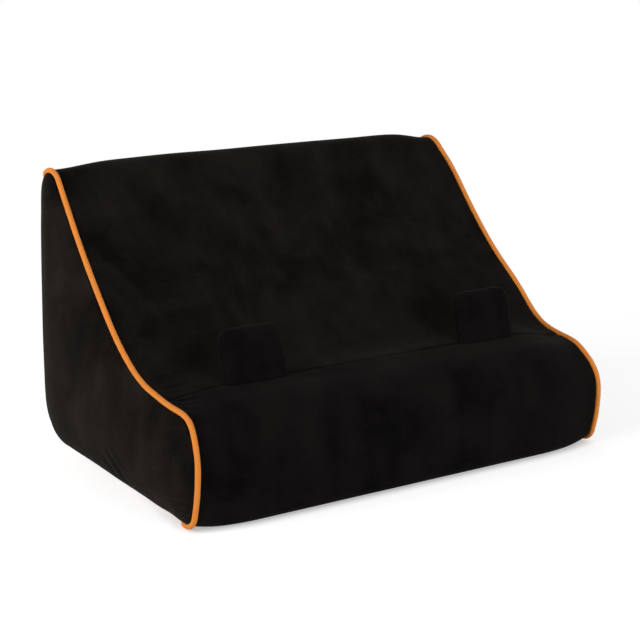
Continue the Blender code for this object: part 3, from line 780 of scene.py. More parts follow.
@dataclass
class Wedge:
    """The wedge's outline from the side, with the solids' sizes, at any fullness across the width.

    The outline's plane has the front foot's seam near 0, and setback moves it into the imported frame. Each
    arc, line and even share in it takes its count of points last.
    """

    seam_span: float = 0.288
    back: float = 0.161
    ridge_height: float = 0.1766
    ridge_radius: float = 0.011
    roll_radius: float = 0.027
    roll_setback: float = 0.0147
    roll_height: float = 0.0365
    front_radius: float = 0.095
    foot_radius: float = 0.008
    back_foot_radius: float = 0.026
    seam_lift: float = 0.003  # Of the side seams over the floor, at the front foot
    back_seam_lift: float = 0.0125  # And at the back foot
    shelf_length: float = 0.033
    shelf_angle: float = math.radians(13.0)
    crook_radius: float = 0.025
    slope_angle: float = math.radians(36.5)
    crown: float = 0.004
    ridge_crown: float = 0.003
    back_crown: float = 0.003
    front_fullness: float = 0.105
    edge_roll: float = 0.040
    side_bulge: float = 0.011
    side_edge: float = 0.020
    cloth_end: float = 0.1417
    tab_setback: float = 0.0145
    zip_opening: float = 0.008
    tape_depth: float = 0.0018
    middle: Pair = (0.095, 0.052)
    base_tuck: float = 0.007  # How far in the side seams lie under the base
    back_tuck: float = 0.002  # And round the back, clear of the zip's pull
    foot_clear: float = 0.001  # The base's tuck starts this far behind the front foot's seam
    foot_blend: float = 0.012  # And is whole after this much more
    down_blend: Pair = (0.35, 0.45)  # How far an outward normal points down where a tuck starts, and its span
    back_blend: Pair = (0.55, 0.4)  # The same for how far it points back
    narrowing: float = 0.012  # Share of the width that the ridge loses
    narrowing_blend: Pair = (0.085, 0.09)  # Height from which it starts, and its span
    ease_reach: int = 10  # Points over which the shelf's bend into the slope is spread
    dents: tuple[tuple[Triple, Triple, Triple], ...] = (
        ((0.144, -0.044, 0.072), (0.034, 0.022, 0.026), (0.0, 0.0004, -0.0034)),
        ((0.144, -0.075, 0.058), (0.034, 0.014, 0.016), (-0.0008, 0.0026, -0.0010)),
        ((0.144, -0.006, 0.084), (0.030, 0.020, 0.024), (0.0, -0.0010, 0.0014)),
        ((-0.144, -0.004, 0.084), (0.034, 0.026, 0.030), (0.0, 0.0012, -0.0018)),
        ((-0.144, -0.073, 0.062), (0.036, 0.013, 0.016), (0.0014, -0.0026, 0.0010)),
        ((0.144, 0.078, 0.172), (0.034, 0.026, 0.018), (-0.0036, 0.0, -0.0008)),
        ((0.144, 0.080, 0.176), (0.028, 0.020, 0.013), (-0.0024, 0.0, -0.0018)),
        ((-0.144, 0.078, 0.174), (0.026, 0.026, 0.016), (0.0, 0.0, -0.0013)),
    )  # Middle, reach and depth of each place where the stuffing has given or packed up
    setback: float = field(init=False)
    zip_height: float = field(init=False)

    def __post_init__(self) -> None:
        """Reads the zip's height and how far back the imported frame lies, both from the tapes, whose outer
        faces are a known depth in."""
        upper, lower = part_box("zip_tape_upper"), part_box("zip_tape_lower")
        self.setback = self.back - self.tape_depth - upper[1].y
        self.zip_height = (upper[0].z + lower[1].z) / 2

    def settled(self, points: Array) -> Array:
        """Where points of the cushion come to rest: x shrinks by a smooth share towards the ridge, and each
        dent adds its depth times a bell curve of the distance from its middle over its reach."""
        start, span = self.narrowing_blend
        narrow = 1 - self.narrowing * smooth((points[..., 2] - start) / span)
        rested = points * np.stack((narrow, np.ones_like(narrow), np.ones_like(narrow)), axis=-1)
        for middle, reach, depth in self.dents:
            apart = (((points - np.array(middle)) / np.array(reach)) ** 2).sum(axis=-1, keepdims=True)
            rested = rested + np.array(depth) * np.exp(-apart)
        return rested

    def shelf_start(self, full: Array) -> tuple[Array, Array, Array]:
        """Where the shelf leaves the roll, and the roll's centres and radii."""
        radius = self.roll_radius + full * self.crown
        centre = np.broadcast_to((self.roll_setback, self.roll_height), (len(full), 2))
        return centre + radius[:, None] * heading(self.shelf_angle + math.pi / 2), centre, radius

    def front_lift(self, full: Array) -> Array:
        """How high the front foot rides: the lift times the cube of what the fullness lacks."""
        return self.seam_lift * (1 - full) ** 3

    def foot(self, full: Array) -> tuple[Array, Array, Array]:
        """The centres of the front foot's arc and of the front's, and the front's radii."""
        _, roll, radius = self.shelf_start(full)
        front_radius = self.front_radius + full * self.front_fullness
        front = np.column_stack((roll[:, 0] - radius + front_radius, roll[:, 1]))
        height = self.front_lift(full) + self.foot_radius
        reach = np.sqrt((front_radius - self.foot_radius) ** 2 - (front[:, 1] - height) ** 2)
        return np.column_stack((front[:, 0] - reach, height)), front, front_radius

    def base(self, full: Array) -> Array:
        """The underside, from the back foot forward."""
        foot = self.foot(full)[0]
        back_height = self.back_seam_lift * (1 - full)
        back = np.column_stack((np.full(len(full), self.back - self.back_foot_radius), back_height))
        return line(back, np.column_stack((foot[:, 0], self.front_lift(full))), 60)

    def front(self, full: Array) -> Array:
        """From the floor up the front, over the roll and back along the shelf to the tabs' seam."""
        foot, front, front_radius = self.foot(full)
        start, roll, roll_radius = self.shelf_start(full)
        low = np.arctan2(foot[:, 1] - front[:, 1], foot[:, 0] - front[:, 0]) + 2 * math.pi
        radius = np.full(len(full), self.foot_radius)
        return joined(
            arc(foot, radius, 1.5 * math.pi, low, 24),
            arc(front, front_radius, low, math.pi, 50),
            arc(roll, roll_radius, math.pi, self.shelf_angle + math.pi / 2, 70),
            line(start, start + self.tab_setback * heading(self.shelf_angle), 20),
        )

    @staticmethod
    def eased(run: Array, middle: int, reach: int) -> Array:
        """A run with the bend round one of its points spread out: there each point moves halfway to the
        midpoint of the two that lie a reach away, by a bell curve of the steps from the bend."""
        place = np.arange(run.shape[1])
        before = run[:, np.clip(place - reach, 0, None)]
        after = run[:, np.clip(place + reach, None, run.shape[1] - 1)]
        share = 0.5 * np.exp(-(((place - middle) / reach) ** 2))[None, :, None]
        return run * (1 - share) + (before + after) / 2 * share

    def rest(self, full: Array) -> Array:
        """From the tabs' seam along the shelf, up the slope, over the ridge and down the back to the zip."""
        start = self.shelf_start(full)[0]
        seam = start + self.tab_setback * heading(self.shelf_angle)
        shelf_end = start + self.shelf_length * heading(self.shelf_angle)
        crook = shelf_end + self.crook_radius * heading(self.shelf_angle + math.pi / 2)
        foot = crook + self.crook_radius * heading(self.slope_angle - math.pi / 2)
        ridge_radius = self.ridge_radius + full * self.ridge_crown
        ridge_level = np.full(len(full), self.ridge_height - self.ridge_radius)
        ridge = np.column_stack((self.back - ridge_radius, ridge_level))
        away = foot - ridge
        normal = heading(self.slope_angle + math.pi / 2)
        radius = (ridge_radius**2 - (away * away).sum(axis=1)) / (2 * (away @ normal - ridge_radius))
        slope = foot + radius[:, None] * normal
        meet = np.arctan2(ridge[:, 1] - slope[:, 1], ridge[:, 0] - slope[:, 0])
        share = np.linspace(0.0, 1.0, 90)[None, :]
        zip_top = self.zip_height + self.zip_opening / 2
        back = np.stack(
            (
                self.back + full[:, None] * self.back_crown * np.sin(math.pi * share) ** 2,
                ridge[:, 1:] + share * (zip_top - ridge[:, 1:]),
            ),
            axis=-1,
        )
        crook_radii = np.full(len(full), self.crook_radius)
        shelf_facing, slope_facing = self.shelf_angle - math.pi / 2, self.slope_angle - math.pi / 2
        shelf_count, crook_count = 20, 12
        run = joined(
            line(seam, shelf_end, shelf_count),
            arc(crook, crook_radii, shelf_facing, slope_facing, crook_count),
            arc(slope, radius, slope_facing, meet, 130),
            arc(ridge, ridge_radius, meet + math.pi, 0.0, 44),
            back,
        )
        return self.eased(run, shelf_count + crook_count // 2, self.ease_reach)

    def lower_back(self, full: Array) -> Array:
        """From the zip down the back and round the back foot to the base."""
        count = len(full)
        radius = np.full(count, self.back_foot_radius)
        level = self.back_seam_lift * (1 - full) + radius
        centre = np.column_stack((self.back - radius, level))
        zip_foot = np.broadcast_to((self.back, self.zip_height - self.zip_opening / 2), (count, 2))
        foot_top = np.column_stack((np.full(count, self.back), level))
        return joined(line(zip_foot, foot_top, 20), arc(centre, radius, 0.0, -math.pi / 2, 40))

    def runs(self, full: Array) -> list[Array]:
        """The whole outline in its four runs, from the back foot forward and round."""
        return [self.base(full), self.front(full), self.rest(full), self.lower_back(full)]

    def fullness(self, x: Array) -> Array:
        """How full the wedge is at each x: the sine that rises from 0 at the cloth's end to 1 inside."""
        rise = np.clip((self.cloth_end - np.abs(x)) / self.edge_roll, 0.0, 1.0)
        return np.sin(rise * math.pi / 2)

    def placed(self, x: Array, plane: Array) -> Array:
        """Points of the outline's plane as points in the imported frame, at the given x."""
        across = np.broadcast_to(x, plane.shape[:-1])
        return np.stack((across, plane[..., 0] - self.setback, plane[..., 1]), axis=-1)

    def rim(self, step: float) -> tuple[Array, Array, tuple[Array, Array]]:
        """The closed outline at the side seams, evenly spaced.

        Args:
            step: Spacing of the points.

        Returns:
            (m, 2) points in the outline's plane, their outward normals, and how much of each is tucked under
            the base and round the back, from 0 to 1.
        """
        loop = np.vstack([run[0, :-1] for run in self.runs(np.zeros(1))])
        closed = np.vstack((loop, loop[:1]))
        passed = lengths_along(closed)
        places = np.linspace(0.0, passed[-1], int(passed[-1] / step), endpoint=False)
        points = np.column_stack([np.interp(places, passed, closed[:, axis]) for axis in (0, 1)])
        along = unit(np.roll(points, -1, axis=0) - np.roll(points, 1, axis=0))
        normal = np.column_stack((-along[:, 1], along[:, 0]))
        return points, normal, self.tuck(points, normal)

    def tuck(self, points: Array, normal: Array) -> tuple[Array, Array]:
        """How much of the side seam is tucked under the base, past the front foot, and round the back."""
        behind_foot = smooth((points[:, 0] - self.foot_clear) / self.foot_blend)
        down_start, down_span = self.down_blend
        back_start, back_span = self.back_blend
        faces_down = smooth((-normal[:, 1] - down_start) / down_span) * behind_foot
        return faces_down, smooth((normal[:, 0] - back_start) / back_span)

    def tucked_in(self, tuck: tuple[Array, Array]) -> Array:
        """How far in from its plane the side seam lies, for its two shares of tuck."""
        return np.maximum(self.base_tuck * tuck[0], self.back_tuck * tuck[1])


Crease = tuple[Triple, Triple, float, float]  # Two ends, depth and width


@dataclass
class Cover:
    """The four strips of cloth that run from side to side, each sewn to the next and piped at the sides."""

    wedge: Wedge
    finishes: Finishes
    thickness: float = 0.0010
    edge: float = 0.1424  # Where the cloth goes in beside the piping
    edge_radius: float = 0.0011
    edge_drop: float = 0.0012
    welt: float = 0.0009  # How far the seam allowance lifts the cloth beside the cord
    welt_reach: float = 0.0045
    seam_radius: float = 0.0021
    seam_drop: float = 0.0012
    pucker: float = 0.00022
    pucker_reach: float = 0.011
    pucker_waves: Triple = (0.0065, 0.0095, 0.015)
    unevenness: float = 0.00045
    slow_waves: Triple = (0.042, 0.075, 0.12)
    side_fade: float = 0.02  # Over which the unevenness comes up beside the piping
    seam_fade: float = 0.010  # And beside the sewn seams
    welt_fade: float = 0.003
    pull_reach: float = 0.045  # How far a tucked seam pulls the cloth inward
    fine_step: float = 0.00018
    across_step: float = 0.0034
    floor_gap: float = 0.0001
    front_creases: tuple[Crease, ...] = (
        ((-0.1390, -0.0545, 0.0655), (-0.1265, -0.0590, 0.0665), 0.0009, 0.0011),
        ((-0.1400, -0.0640, 0.0640), (-0.1330, -0.0700, 0.0610), 0.0004, 0.0012),
        ((0.1300, -0.0560, 0.0665), (0.1395, -0.0530, 0.0640), 0.0008, 0.0012),
    )
    shelf_creases: tuple[Crease, ...] = (
        ((-0.1400, -0.0395, 0.0690), (-0.1250, -0.0435, 0.0700), 0.0008, 0.0013),
        ((-0.1400, -0.0290, 0.0760), (-0.1300, -0.0330, 0.0740), 0.0005, 0.0015),
        ((0.1290, -0.0420, 0.0680), (0.1400, -0.0360, 0.0690), 0.0009, 0.0014),
        ((0.1310, -0.0270, 0.0770), (0.1400, -0.0240, 0.0800), 0.0005, 0.0015),
    )

    def across(self) -> Array:
        """The columns' places across the width, close together at the seams."""
        return graded(2 * self.edge, self.fine_step, self.across_step) - self.edge

    @staticmethod
    def rolled(distance: Array, radius: float, drop: float) -> Array:
        """The fall into a seam: drop times 1 minus the root of 1 - q^2, where q rises to 1 at the seam."""
        nearness = np.clip(1 - distance / radius, 0.0, 1.0)
        return drop * (1 - np.sqrt(1 - nearness**2))

    def strip(self, name: str, run: Array, coarse: float, seed: int, creases: tuple[Crease, ...]) -> Piece:
        """One strip: the outline's run at each column, moved along its normals by the relief.

        The relief adds slow unevenness and small puckers that fade away from the side seams, and takes off
        the fall into all four seams.

        Args:
            name: Name of the piece.
            run: (n, m, 2) outline points at the columns.
            coarse: Largest step along the run.
            seed: Seed of the unevenness.
            creases: Short folds in this strip.

        Returns:
            The piece.
        """
        x = self.across()
        middle = lengths_along(run[len(run) // 2])
        places = graded(middle[-1], self.fine_step, coarse)
        taken = taken_at(run, places)
        step = unit(np.gradient(taken, axis=1)[0])
        tuck = self.wedge.tuck(taken[0], np.column_stack((-step[:, 1], step[:, 0])))
        tucked_in = self.wedge.tucked_in(tuck)[None, :]
        side_distance = np.broadcast_to((self.edge - np.abs(x))[:, None], taken.shape[:2])
        sign = np.sign(x)[:, None]
        pulled = x[:, None] - sign * tucked_in * smooth(1 - side_distance / self.pull_reach)
        grid = self.wedge.placed(pulled, taken)
        normal = normals_of(grid)
        seam_distance = np.minimum(places, middle[-1] - places)[None, :]
        signs = np.broadcast_to(sign[..., None], (*taken.shape[:2], 1))
        along_seam = np.concatenate((signs, grid[..., 1:]), axis=-1)
        near_side = np.exp(-side_distance / self.pucker_reach)
        near_cord = np.exp(-side_distance / self.welt_reach)
        height = self.unevenness * waves(grid, self.slow_waves, seed) * smooth(side_distance / self.side_fade)
        height = height + self.pucker * waves(along_seam, self.pucker_waves, seed + 1) * near_side
        height = height * smooth(seam_distance / self.seam_fade)
        height = height + self.welt * near_cord * smooth(seam_distance / self.welt_fade)
        for fold in creases:
            height = height + crease(grid, *fold)
        height = height - self.rolled(side_distance, self.edge_radius, self.edge_drop)
        height = height - self.rolled(seam_distance, self.seam_radius, self.seam_drop)
        grid = self.wedge.settled(grid + normal * height[..., None])
        grid[..., 2] = np.maximum(grid[..., 2], self.floor_gap)
        piece = mesh_piece(name, grid.reshape(-1, 3), [grid_faces(*grid.shape[:2])])
        thickened(piece, self.thickness)
        return piece

    def build(self) -> None:
        """Makes the four strips and dresses each with its cloth."""
        strips = {  # Largest step along the run, seed of the unevenness, creases and cloth
            "base_panel": (0.004, 11, (), self.finishes.suede),
            "front_panel": (0.0012, 23, self.front_creases, self.finishes.suede),
            # The slope's suede is lighter as painted sheen.
            "rest_panel": (0.0017, 37, self.shelf_creases, self.finishes.slope_suede_painted_sheen),
            "lower_back_panel": (0.0017, 41, (), self.finishes.suede),
        }
        runs = self.wedge.runs(self.wedge.fullness(self.across()))
        for run, (node, (coarse, seed, creases, cloth)) in zip(runs, strips.items()):
            piece = self.strip(f"cover_{node}", run, coarse, seed, creases)
            dressed(piece, cloth, "suede_cloth", node)


@dataclass
class SidePanels:
    """The two side panels, which swell from their seams and roll under along the base and the back."""

    wedge: Wedge
    finishes: Finishes
    thickness: float = 0.0010
    rim_out: float = 0.1435
    rim_depth: float = 0.0013
    welt: float = 0.0010  # How far the seam allowance lifts the cloth beside the cord
    welt_reach: float = 0.0008
    ease: float = 0.0065  # Cut larger than the seam's outline, all round
    rim_step: float = 0.0016
    rings: int = 60
    ring_power: float = 1.5  # Brings the rings closer together at the rim
    last_ring: float = 0.985  # As a share of the way to the middle
    roll_reach: float = 0.016
    roll_out: float = 0.0042  # How far out the rolled edge heads, where the seam is tucked fully
    roll_out_share: float = 0.35  # Less this share of what its tuck lacks
    roll_back: float = 0.0090  # How far along the side the roll's end is led
    roll_lead: float = 0.0008
    rim_share: float = 0.6
    unevenness: float = 0.0007
    slow_waves: Triple = (0.035, 0.06, 0.11)
    wave_seed: int = 51
    fade: float = 0.25  # Share of the rings over which the unevenness comes up
    floor_gap: float = 0.0002
    folds: tuple[Crease, ...] = (
        ((-0.1520, -0.0050, 0.0290), (-0.1485, -0.0200, 0.0140), 0.0006, 0.0024),
        ((-0.1520, 0.0030, 0.0240), (-0.1490, -0.0100, 0.0130), 0.0004, 0.0024),
        ((0.1520, 0.0120, 0.0300), (0.1485, 0.0010, 0.0150), 0.0005, 0.0024),
    )

    def swell(self, distance: Array) -> Array:
        """How far a side stands out at a distance from its seam: the bulge and the welt, each times tanh of
        the distance over its own width."""
        bulge = self.wedge.side_bulge * np.tanh(distance / self.wedge.side_edge)
        return bulge + self.welt * np.tanh(distance / self.welt_reach)

    def seam_distance(self, points: Array, seam: Array) -> Array:
        """A distance from the seam without creases: the root of 2 over the sum, along the seam, of each
        edge's length over its distance cubed."""
        following = np.roll(seam, -1, axis=0)
        edge = np.linalg.norm(following - seam, axis=1)
        centre = (following + seam) / 2
        apart = np.linalg.norm(points[..., None, :] - centre, axis=-1)
        return np.sqrt(2 / (edge / np.maximum(apart, 1e-5) ** 3).sum(axis=-1))

    def tucked_profile(self, reach: Array, tucked_in: Array) -> tuple[Array, Array]:
        """The rolled edge where the seam is tucked under: a Bezier from the seam out along the base or the
        back, round the edge and on to the plain side.

        Args:
            reach: Distance from the rim, in the side's plane.
            tucked_in: How far in the seam lies there.

        Returns:
            How far out of the plain side, and how far along the outline's outward normal, the edge moves.
        """
        span = self.roll_reach
        end_out = float(self.swell(np.array(span)))
        slope = self.wedge.side_bulge / self.wedge.side_edge / math.cosh(span / self.wedge.side_edge) ** 2
        bend_out = self.roll_out - self.roll_out_share * (self.wedge.base_tuck - tucked_in)
        outward = (-tucked_in, bend_out, end_out - self.roll_back * slope, end_out)
        end_along = -span - self.rim_depth
        along = (-self.rim_depth * self.rim_share, self.roll_lead, end_along + self.roll_back, end_along)
        t = np.clip(reach / span, 0.0, 1.0)
        weights = ((1 - t) ** 3, 3 * (1 - t) ** 2 * t, 3 * (1 - t) * t**2, t**3)
        curve_out = sum(weight * corner for weight, corner in zip(weights, outward))
        curve_along = sum(weight * corner for weight, corner in zip(weights, along))
        return curve_out - self.swell(t * span), curve_along + t * span + self.rim_depth

    def surface(self, side: Side) -> tuple[Array, Array, Array]:
        """A side's grid: rings that shrink from the rim to the middle, each moved out by the swell.

        Returns:
            (rings, m, 3) points, the middle point, and the rim's outline.
        """
        rim, normal, tuck = self.wedge.rim(self.rim_step)
        seam = rim - normal * self.rim_depth
        middle = np.array(self.wedge.middle)
        share = np.linspace(0.0, self.last_ring, self.rings) ** self.ring_power
        flat = seam[None] + (middle - seam)[None] * share[:, None, None]
        inside = self.seam_distance(flat, seam)
        inside[0] = 0.0
        reach = ((seam - flat) * normal[None]).sum(axis=-1)
        share = np.maximum(*tuck)[None]
        out, along = self.tucked_profile(np.maximum(reach, 0.0), self.wedge.tucked_in(tuck)[None])
        place = self.rim_out + self.swell(inside) + out * share
        flat = flat + normal[None] * (along * share)[..., None]
        tip_out = self.rim_out + self.swell(self.seam_distance(middle[None], seam))
        tip = self.wedge.placed(side.value * tip_out, middle[None])
        return self.wedge.placed(side.value * place, flat), tip, seam

    def build(self) -> None:
        """Makes both sides and dresses each. The real panel is cut larger all round than the seam's outline
        and gathered into the seam, which the swell stands for."""
        for side in Side:
            grid, tip, seam = self.surface(side)
            inside = smooth(np.linspace(0.0, 1.0, self.rings) / self.fade)[:, None]
            relief = self.unevenness * waves(grid, self.slow_waves, self.wave_seed + side.value) * inside
            for fold in self.folds:
                relief = relief + crease(grid, *fold)
            grid[..., 0] += side.value * relief
            grid = self.wedge.settled(grid)
            grid[..., 2] = np.maximum(grid[..., 2], self.floor_gap)
            points = np.vstack((grid.reshape(-1, 3), tip))
            rings, around = grid.shape[:2]
            squares = grid_faces(rings, around, wrap_columns=True)
            last = (rings - 1) * around + np.arange(around)
            fan = np.column_stack((last, np.full(around, rings * around), np.roll(last, -1)))
            faces = [squares, fan] if side is Side.LEFT else [squares[:, ::-1], fan[:, ::-1]]
            piece = mesh_piece(f"side_{side.label}", points, faces)
            thickened(piece, self.thickness)
            # The sides' suede is lighter as painted light from the key lamp.
            dressed(piece, self.finishes.side_suede, "suede_cloth", f"side_panel_{side.label}")


@dataclass
class Piping:
    """The corded edge sewn into the seam round each side panel."""

    wedge: Wedge
    finishes: Finishes
    radius: float = 0.00158
    proud: float = 0.0005
    step: float = 0.0013
    around: int = 18
    lumps: float = 0.00006
    lump_waves: Triple = (0.004, 0.007, 0.013)
    lump_seed: int = 71

    def build(self) -> None:
        """Carries a circle along the seam: the centre plus the radius times the outward normal's cosine and
        the cross direction's sine, with the seam moved in where it is tucked under."""
        rim, normal, tuck = self.wedge.rim(self.step)
        centre = rim + normal * self.proud
        for side in Side:
            x = side.value * (self.wedge.seam_span / 2 - self.wedge.tucked_in(tuck))
            path = self.wedge.placed(x, centre)
            along = unit(np.roll(path, -1, axis=0) - np.roll(path, 1, axis=0))
            out = np.column_stack((np.zeros(len(path)), normal))
            radius = self.radius + self.lumps * waves(path, self.lump_waves, self.lump_seed + side.value)
            ring = rings_round(full_turn(self.around), out, np.cross(along, out))
            grid = self.wedge.settled(path[:, None] + radius[:, None, None] * ring)
            faces = grid_faces(len(path), self.around, wrap_rows=True, wrap_columns=True)
            piece = mesh_piece(f"piping_edge_{side.label}", grid.reshape(-1, 3), [faces])
            set_uv(piece, self.on_flat_cloth(path))
            dressed(piece, self.finishes.piping, "orange_piping", f"piping_{side.label}")

    def on_flat_cloth(self, path: Array) -> Array:
        """Where each face's corners lie on the flat strip of cloth: along the seam, and round the cord."""
        passed = lengths_along(np.vstack((path, path[:1])))
        girth = 2 * math.pi * self.radius * np.linspace(0.0, 1.0, self.around + 1)
        row, column = np.divmod(np.arange(len(path) * self.around), self.around)
        along = passed[np.stack((row, row + 1, row + 1, row), axis=1)]
        across = girth[np.stack((column, column, column + 1, column + 1), axis=1)]
        return np.stack((along, across), axis=-1)


@dataclass
class Tabs:
    """The two padded tabs that stand out of the seam in the shelf."""

    wedge: Wedge
    finishes: Finishes
    middle_x: dict[Side, float] = field(default_factory=lambda: {Side.LEFT: -0.0845, Side.RIGHT: 0.0810})
    lean: dict[Side, float] = field(
        default_factory=lambda: {Side.LEFT: math.radians(17.0), Side.RIGHT: math.radians(13.0)}
    )
    width: float = 0.0410
    height: float = 0.0300
    thickness: float = 0.008
    corner: float = 0.0078
    cloth: float = 0.0010
    squareness: float = 3.4  # Power of each ring's superellipse
    top_round: float = 1.15  # Height of the rounded top, in half depths
    foot_pinch: float = 0.16  # Share of the depth that the seam takes
    foot_reach: float = 0.0035
    sleeve_foot: float = -0.0012  # Above the seam
    pad_foot: float = 0.0008
    pad_inset: float = 0.0016
    ripple: float = 0.00016
    ripple_waves: Pair = (0.006, 0.011)
    ripple_seed: int = 91
    end_share: float = 0.6  # Of the thickness, in each rounded end of the girth
    around: int = 96
    rows: int = 60

    def pillow(self, side: Side, shrink: float, lift: float) -> Array:
        """A tab's surface as rings from its foot to its top.

        Across, each ring is a superellipse. Its half width is the tab's, less the corner's circle near the
        top, and its half depth is full in the middle, less at the foot and round at the top.

        Args:
            side: Which tab.
            shrink: How far inside the outer surface it lies.
            lift: Height of the first ring above the seam.

        Returns:
            (rows, around, 3) points.
        """
        half, top = self.width / 2 - shrink, self.height - shrink
        corner, depth = self.corner - shrink, self.thickness / 2 - shrink
        up = lift + (top - lift) * np.sin(np.linspace(0.0, math.pi / 2, self.rows))
        over = np.clip((up - (top - corner)) / corner, 0.0, 1.0)
        half_width = half - corner + corner * np.sqrt(1 - over**2)
        rounded = self.top_round * depth
        near_top = np.clip((up - (top - rounded)) / rounded, 0.0, 1.0)
        foot = 1 - self.foot_pinch * np.exp(-np.maximum(up, 0.0) / self.foot_reach)
        half_depth = depth * np.sqrt(1 - near_top**2) * foot
        turn, power = full_turn(self.around), 2 / self.squareness
        across = half_width[:, None] * signed_power(np.cos(turn), power)
        deep = half_depth[:, None] * signed_power(np.sin(turn), power)
        shelf_start = self.wedge.shelf_start(np.ones(1))[0][0]
        seam = shelf_start + self.wedge.tab_setback * heading(self.wedge.shelf_angle)
        upward = heading(math.pi / 2 - self.lean[side])
        through = np.array([upward[1], -upward[0]])
        plane = seam + up[:, None, None] * upward + deep[..., None] * through
        return self.wedge.placed(self.middle_x[side] + across, plane)

    @staticmethod
    def closed(name: str, grid: Array, foot_closed: bool) -> Piece:
        """A piece from rings, with the last ring zipped shut across its flat top."""
        rows, around = grid.shape[:2]
        last = (rows - 1) * around
        place = np.arange(1, around // 2)
        lid = last + np.column_stack((place, place - 1, (around - place + 1) % around, around - place))
        end = last + around // 2
        squares = grid_faces(rows, around, wrap_columns=True)[:, ::-1]
        faces = [squares, lid[1:], lid[:1, [0, 1, 3]], np.array([[end, end - 1, end + 1]])]
        if foot_closed:
            faces.append(np.arange(around)[None])
        return mesh_piece(name, grid.reshape(-1, 3), faces)

    def build(self) -> None:
        """Makes both sleeves and their pads."""
        for side in Side:
            sleeve = self.pillow(side, 0.0, self.sleeve_foot)
            ripple = self.ripple * waves(sleeve, self.ripple_waves, self.ripple_seed + side.value)
            sleeve[..., 1] += ripple * np.sign(sleeve[..., 1] - sleeve[..., 1].mean(axis=1, keepdims=True))
            piece = self.closed(f"sleeve_tab_{side.label}", sleeve, False)
            thickened(piece, self.cloth)
            dressed(piece, self.finishes.suede, "suede_cloth", f"tab_{side.label}")
            pad = self.closed(f"pad_tab_{side.label}", self.pillow(side, self.pad_inset, self.pad_foot), True)
            dressed(pad, self.finishes.foam, "foam", f"tab_{side.label}_insert")


@dataclass
class FoamWedge:
    """The foam inside the cover."""

    wedge: Wedge
    finishes: Finishes
    sides: SidePanels
    depth: float = 0.0030
    groove_depth: float = 0.0045
    groove_half: float = 0.0125
    groove_margin: float = 0.001  # The groove is cut only this near the back
    end: float = 0.1325  # Where its side edges lie, clear of the tucked seams
    even_end: float = 0.128  # Evenly spaced rings reach this far
    even_rings: int = 44
    cap_rings: int = 26
    coarseness: int = 3  # It takes each third point of the cover's outline
    full_lead: float = 0.002  # How much nearer the seam than its own place a ring reads the fullness
    side_clearance: float = 0.0026
    side_blend: float = 0.024

    def inset(self, x: Array) -> Array:
        """The outline at each x, less its depth along its outward normal, deeper behind the zip."""
        full = self.wedge.fullness(np.minimum(np.abs(x) + self.full_lead, self.wedge.cloth_end))
        loops = np.concatenate([run[:, :-1][:, :: self.coarseness] for run in self.wedge.runs(full)], axis=1)
        along = unit(np.roll(loops, -1, axis=1) - np.roll(loops, 1, axis=1))
        normal = np.stack((-along[..., 1], along[..., 0]), axis=-1)
        at_back = loops[..., 0] > self.wedge.back - self.groove_margin
        behind_zip = at_back & (np.abs(loops[..., 1] - self.wedge.zip_height) < self.groove_half)
        depth = np.where(behind_zip, self.depth + self.groove_depth, self.depth)
        return loops - normal * depth[..., None]

    def caps(self, loop: Array) -> list[Array]:
        """Both ends: the last ring shrunk towards the middle, swollen with the side panels, a clearance
        inside them."""
        middle = np.array(self.wedge.middle)
        share = np.linspace(0.0, 1.0, self.cap_rings)[1:]
        flat = loop[None] + (middle - loop)[None] * share[:, None, None]
        inside = self.sides.seam_distance(flat, loop)
        gained = (self.sides.rim_out - self.side_clearance - self.end) * smooth(inside / self.side_blend)
        out = self.end + gained + self.sides.swell(inside)
        return [self.wedge.placed(sign * out, flat) for sign in (-1, 1)]

    def build(self) -> None:
        """Rings of the inset outline across the width, closed by a swollen cap at each end."""
        even = np.linspace(-self.even_end, self.even_end, self.even_rings)
        x = np.concatenate(([-self.end], even, [self.end]))
        loops = self.inset(x)
        left_cap, right_cap = self.caps(loops[0])
        body = self.wedge.placed(x[:, None], loops)
        rings = self.wedge.settled(np.concatenate((left_cap[-2::-1], body, right_cap[:-1])))
        points = np.vstack((rings.reshape(-1, 3), left_cap[-1, :1], right_cap[-1, :1]))
        count = loops.shape[1]
        first = np.arange(count)
        last = (len(rings) - 1) * count + first
        left = np.column_stack((np.full(count, len(points) - 2), first, np.roll(first, -1)))
        right = np.column_stack((np.full(count, len(points) - 1), np.roll(last, -1), last))
        squares = grid_faces(len(rings), count, wrap_columns=True)
        piece = mesh_piece("foam_wedge", points, [squares, left, right])
        dressed(piece, self.finishes.foam, "foam", "foam_core")


